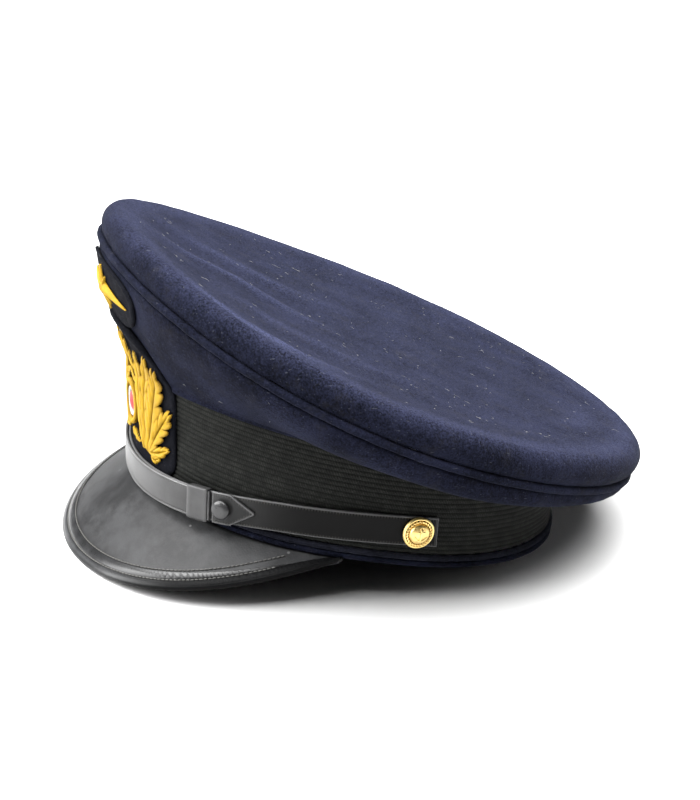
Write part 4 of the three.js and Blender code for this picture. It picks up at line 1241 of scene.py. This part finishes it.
LEAVES = [
    {"spine": [(24, 14.2), (27.5, 13.2), (31, 14.4)], "width": 3.6, "lobes": 1},
    {"spine": [(22, 15), (30, 17), (38, 21)], "width": 5, "lobes": 2},
    {"spine": [(23, 15), (31, 26), (39.3, 37)], "width": 9.5, "lobes": 4},
    {"spine": [(20.5, 14.5), (18.5, 29), (19.5, 44), (25, 57.5)], "width": 9.5, "lobes": 5},
    {"spine": [(18, 14.5), (14.5, 29), (13, 44), (15.8, 56.5)], "width": 8, "lobes": 5},
    {"spine": [(22, 14.5), (26, 29), (29, 42), (31.5, 53)], "width": 13, "lobes": 5},
    {"spine": [(16.5, 15.5), (13, 24), (12.6, 34), (8, 41), (1.8, 44.5)], "width": 5, "lobes": 3},
    {"spine": [(12.5, 44), (8, 51), (2.8, 60)], "width": 7, "lobes": 3},
    {"spine": [(14, 16.3), (9.5, 17.3), (4.8, 18.4)], "width": 4.5, "lobes": 1},
]
SILK_RADIUS = 0.33 * MM
SILK_SPACING = 0.52 * MM
SILK_SLANT = math.radians(40)  # between a leaf's vein and its threads
LEAF_PUFF = 1.5 * MM


def silk_finish(name, deep, bright, rough=0.45):
    """Silk: painted paler where marked, a painted highlight where a stitch stands up, and darker where
    unmarked as painted shade, with patches of dirt.
    """
    silk = Finish(name, Specular_IOR_Level=0.25)
    shade = silk.noise(1.3 * MM, 3)
    dirt = silk.noise(8 * MM, 3).step(0.55, 0.8)
    silk.bump(silk.noise(0.18 * MM, 2), 0.02 * MM)
    colour = (silk.mark() + 0.5 * shade - 0.25).step(0, 1).between(deep, bright)
    return silk.paint((dirt * 0.25).between(colour, deep), rough + 0.15 * shade)


def leaf(work, row, sign, layer):
    """One leaf's threads, laid on the patch from its foot to its tip on both sides of its vein."""
    length = run_along(np.array(row["spine"], float))[-1] * MM
    count = max(7, int(length * math.sin(SILK_SLANT) / SILK_SPACING))
    vein = smooth_line(row["spine"], count + 1) * MM
    along = np.gradient(vein, axis=0)
    along /= np.linalg.norm(along, axis=1, keepdims=True)
    share = np.linspace(0, 1, count + 1)
    swell = np.sin(np.pi * np.minimum(0.10 + 0.80 * share, 0.97)) ** 0.7
    t = np.linspace(0, 1, 8)
    for side, offset in ((1, 0.0), (-1, 0.25)):  # the lobes of the two sides alternate
        lobe = np.abs(np.sin(np.pi * (share * (row["lobes"] + 0.5) + offset))) ** 0.5
        slant = SILK_SLANT * (1 - 0.6 * smooth(share, 0.8, 1)) * side
        reach = (row["width"] * MM / 2 * swell * (0.42 + 0.58 * lobe) / math.sin(SILK_SLANT)
                 * (1 + 0.1 * smooth(share, 0.85, 1)))
        heading = np.stack([along[:, 0] * np.cos(slant) + along[:, 1] * np.sin(slant),
                            along[:, 1] * np.cos(slant) - along[:, 0] * np.sin(slant)], -1)
        flat = vein[:, None] + heading[:, None] * (reach[:, None] * t)[..., None]
        puff = (LEAF_PUFF * np.sin(np.pi * (0.06 + 0.90 * t)) ** 0.6
                * ((0.6 + 0.4 * swell) * (0.65 + 0.35 * lobe))[:, None])
        away = ON_PATCH + 0.25 * MM * layer + puff
        paths, normals = on_front(sign * flat[..., 0], flat[..., 1], away)
        radius = SILK_RADIUS * np.where((t > 0) & (t < 1), 1, 0.7) + 0 * puff
        # Painted light and shade: each thread is paler over its raised middle and darker at the vein and
        # at the leaf's edge.
        shown = 0.1 + 0.9 * np.sin(np.pi * (0.10 + 0.82 * t)) ** 0.8
        work.tubes(paths, normals, radius, 5, 0.8, np.tile(shown, (count + 1, 1)))


def wreath(side, sign):
    """All the leaves of one side, in three layers."""
    work = Work()
    for layer, row in enumerate(LEAVES):
        leaf(work, row, sign, layer % 3)
    return work.finish(f"oak_leaves_{side}", gold_silk, "gold_thread", f"wreath_{side}")


gold_silk = silk_finish("gold_silk", (0.12, 0.050, 0.002, 1), (0.385, 0.232, 0.006, 1))
for side, sign in SIDES:
    wreath(side, sign)

# ---- Cockade ----
# A twisted gold cord round a ring of white silk, with a dome of coiled red thread in it, all
# laid out round one middle, low on the wreath's patch.

COCKADE_HEIGHT = 30 * MM
CORD = {"radius": 9 * MM, "thick": 1.2 * MM, "turns": 21}
WHITE_RING = {"radius": 5.9 * MM, "thick": 1.0 * MM, "ribs": 52}
RED_DOME = {"radius": 4.4 * MM, "height": 1.7 * MM, "pitch": 0.75 * MM}


def cockade_place(reach, angle, away):
    """A place round the cockade's middle, raised from its patch."""
    return on_front(reach * np.cos(angle), COCKADE_HEIGHT + reach * np.sin(angle), ON_PATCH + away)[0]


def cockade_cord():
    """Three strands twisted round each other."""
    angle = np.linspace(0, 2 * np.pi, 240, endpoint=False)
    round_cord = np.linspace(0, 2 * np.pi, 7)[:-1, None]
    work = Work()
    for strand in range(3):
        twist = CORD["turns"] * angle + strand * 2 * np.pi / 3
        away = CORD["thick"] * (1 + 0.48 * np.sin(twist) + 0.6 * np.sin(round_cord))
        reach = CORD["radius"] + CORD["thick"] * (0.48 * np.cos(twist) + 0.6 * np.cos(round_cord))
        points = cockade_place(reach, angle, away)
        # Painted light and shade: each strand is paler on its outer side and darker toward the patch.
        work.grid(points, True, True, 0.55 + 0.35 * np.sin(round_cord) + 0 * angle)
    return work.finish("cockade_twist", gold_silk, "gold_thread", "cockade_cord")


def cockade_ring():
    """A ring with a fine rib for each thread wound round it."""
    angle = np.linspace(0, 2 * np.pi, 6 * WHITE_RING["ribs"], endpoint=False)
    section = np.linspace(0, 2 * np.pi, 15)[:-1, None]
    rib = np.abs(np.sin(WHITE_RING["ribs"] / 2 * angle))
    thick = WHITE_RING["thick"] * (0.9 + 0.1 * rib)
    reach = WHITE_RING["radius"] + thick * np.cos(section)
    away = 0.6 * WHITE_RING["thick"] + thick * np.sin(section)
    work = Work()
    # The ribs are painted paler on their crests and darker between them, as painted light and shade.
    work.grid(cockade_place(reach, angle, away), True, True, rib + 0 * section)
    return work.finish("cockade_white", white_silk, "white_thread", "cockade_ring")


def cockade_dome():
    """A low dome whose thread coils from its foot to its middle."""
    angle = np.linspace(0, 2 * np.pi, 72, endpoint=False)
    share = np.linspace(1, 0.03, 34)[:, None]
    coil = np.abs(np.sin(np.pi * (share * RED_DOME["radius"] / RED_DOME["pitch"]) + angle / 2))
    bulge = RED_DOME["height"] * np.sqrt(1 - 0.96 * share ** 2) + 0.22 * MM * coil
    reach = RED_DOME["radius"] * share
    points = cockade_place(reach, angle, bulge)
    base, foot = (cockade_place(part * reach[:1], angle, 0) for part in (0.05, 1))
    work = Work()
    # The coils are painted paler on their crests and darker between them, as painted light and shade.
    marks = np.vstack([0 * angle[None], 0 * angle[None], coil])
    work.cap(work.grid(np.vstack([base, foot, points]), closed_columns=True, marks=marks))
    return work.finish("cockade_red", red_silk, "red_thread", "cockade_dome")


white_silk = silk_finish("white_silk", (0.16, 0.16, 0.17, 1), (0.50, 0.50, 0.49, 1))
red_silk = silk_finish("red_silk", (0.16, 0.012, 0.015, 1), (0.50, 0.055, 0.06, 1))
cockade_cord()
cockade_ring()
cockade_dome()

# ---- Badge star ----
# A plain star of eight points on the upper patch, satin stitched across each point over a ridge,
# with a coiled boss in the middle.

STAR = {"height": 81 * MM, "ridge": 2.3 * MM, "rim": 0.35 * MM, "boss": 3.2 * MM}
STAR_POINTS = [
    {"angle": 0, "reach": 27, "base": 3.6, "signs": [(1, 1), (-1, 1)]},
    {"angle": 90, "reach": 9.8, "base": 3.0, "signs": [(1, 1), (1, -1)]},
    {"angle": 48, "reach": 8, "base": 2.0, "signs": [(1, 1), (1, -1), (-1, 1), (-1, -1)]},
]


def star_place(across, up, away):
    """A place on the star's patch, and its normal."""
    return on_front(across, STAR["height"] + up, ON_PATCH + away, PANEL_RADIUS)


def badge_star():
    """Threads laid across each point from its base to its tip, and then the boss."""
    work = Work()
    t = np.linspace(-1, 1, 9)
    for row in STAR_POINTS:
        reach, base, angle = row["reach"] * MM, row["base"] * MM, math.radians(row["angle"])
        places = np.arange(1.2 * MM, reach - 0.3 * MM, SILK_SPACING)[:, None]
        half = base * (1 - places / reach)
        ahead = places - 0.7 * half * np.abs(t)
        aside = half * t
        across = ahead * math.cos(angle) - aside * math.sin(angle)
        up = ahead * math.sin(angle) + aside * math.cos(angle)
        away = STAR["rim"] + STAR["ridge"] * (1 - np.abs(t) ** 1.4) * (0.25 + 0.75 * half / base)
        for across_sign, up_sign in row["signs"]:
            paths, normals = star_place(across_sign * across, up_sign * up, away)
            work.tubes(paths, normals, SILK_RADIUS, 5, 0.8, marks=[0.85] * len(places))
    angle = np.linspace(0, 2 * np.pi, 48, endpoint=False)
    share = np.linspace(1, 0.05, 22)[:, None]
    coil = np.abs(np.sin(np.pi * share * STAR["boss"] / (0.8 * MM) + angle / 2))
    away = STAR["ridge"] * (0.4 + 0.9 * np.sqrt(1 - 0.97 * share ** 2)) + 0.2 * MM * coil
    reach = STAR["boss"] * share
    boss = star_place(reach * np.cos(angle), reach * np.sin(angle), away)[0]
    # The boss's coils are painted paler on their crests and darker between them, as painted light and
    # shade.
    work.cap(work.grid(boss, closed_columns=True, marks=coil))
    return work.finish("gold_star", gold_silk, "gold_thread", "badge_star")


badge_star()

# ---- Lint ----
# Pale hairs and crumbs of fluff that cling to the nap, most of them on the crown. They lie
# loose, each with a length, a heading and a bend of its own.

LINT_COUNT = 200
LINT_ON_CROWN = 0.72  # the share of it there; the rest is on the side wall
HAIR_RADIUS = 0.06 * MM
CRUMB_RADIUS = 0.14 * MM


def crown_surface(across, back):
    """Points on the crown, given across and back from its middle."""
    turn = np.arctan2(across / CROWN_HALF_WIDTH, -back / CROWN_HALF_LENGTH)
    inset = np.hypot(*crown_outline(turn, 0)) - np.hypot(across, back)
    return crown_plane_point(across, back, crown_relief(across, back, inset)[0])


def lint():
    """Each hair or crumb is a short bent tube, on the crown or on the side wall."""
    random = np.random.default_rng(91)
    work = Work()
    step = np.linspace(-0.5, 0.5, 9)
    for number in range(LINT_COUNT):
        long = random.choice([0.5, 1.6, 3.2, 6], p=[0.25, 0.35, 0.28, 0.12]) * MM
        heading = random.uniform(0, 2 * np.pi) + random.normal(0, 1.1) * step * 2
        bend = np.stack([np.cumsum(np.cos(heading)), np.cumsum(np.sin(heading))]) * long / 9
        bend -= bend.mean(1, keepdims=True)
        turn, share = random.uniform(-np.pi, np.pi), math.sqrt(random.uniform(0, 1))
        if random.uniform() < LINT_ON_CROWN:
            across, back = (share * side for side in crown_outline(turn, 13 * MM))
            path = crown_surface(across + bend[0], back + bend[1])
            normals = np.array([0, 0, 1.0]) + 0 * path
        else:
            path, normals = panel_point(turn + bend[0] / (110 * MM),
                                        0.1 + 0.75 * share + bend[1] / (60 * MM))
        path = path + normals * 0.16 * MM * (1 + 0.5 * np.sin(9 * step + number))[:, None]
        radius = (CRUMB_RADIUS if long < 1 * MM else HAIR_RADIUS) * (1 - 3.2 * step ** 2)
        work.tubes(path[None], normals[None], radius[None], 4, marks=[random.uniform(0, 1)])
    fluff = thread_finish("fluff", (0.05, 0.052, 0.06, 1), (0.24, 0.24, 0.235, 1), 0.8)
    return work.finish("lint", fluff, "white_thread")


lint()

# ---- Floor and light ----
# A pale table, a wide soft light overhead, a large one ahead of the visor and a weak one
# behind the cap.

FLOOR_WIDTH = 30
FLOOR_GREY = 0.5
SKY_STRENGTH = 0.05
LIGHTS = [
    {"name": "overhead", "at": (-0.1, 0, 1.7), "size": (2.5, 2.5), "power": 250},
    {"name": "ahead", "at": (-0.25, -1.5, 0.75), "size": (1.2, 1.0), "power": 52},
    {"name": "behind", "at": (0.7, 1.3, 0.6), "size": (0.7, 0.7), "power": 3},
]

table = Finish("pale_table", Roughness=0.8)
table.paint(colour=(FLOOR_GREY, FLOOR_GREY, FLOOR_GREY, 1))
corner = FLOOR_WIDTH / 2
surface = bpy.data.meshes.new("table_top")
surface.from_pydata([(-corner, -corner, 0), (corner, -corner, 0), (corner, corner, 0),
                     (-corner, corner, 0)], [], [(0, 1, 2, 3)])
surface.materials.append(table.material)
table_top = bpy.data.objects.new("table_top", surface)
bpy.context.scene.collection.objects.link(table_top)

for row in LIGHTS:
    lamp = bpy.data.lights.new(row["name"], "AREA")
    lamp.shape = "RECTANGLE"
    lamp.size, lamp.size_y = row["size"]
    lamp.energy = row["power"]
    stand = bpy.data.objects.new(row["name"], lamp)
    stand.location = row["at"]
    stand.rotation_euler = (VIEW_TARGET - Vector(row["at"])).to_track_quat("-Z", "Y").to_euler()
    bpy.context.scene.collection.objects.link(stand)

room = bpy.data.worlds.new("room")
room.use_nodes = True
sky = room.node_tree.nodes["Background"].inputs
sky["Color"].default_value = (1, 1, 1, 1)
sky["Strength"].default_value = SKY_STRENGTH
bpy.context.scene.world = room
bpy.context.scene.view_settings.view_transform = "Standard"
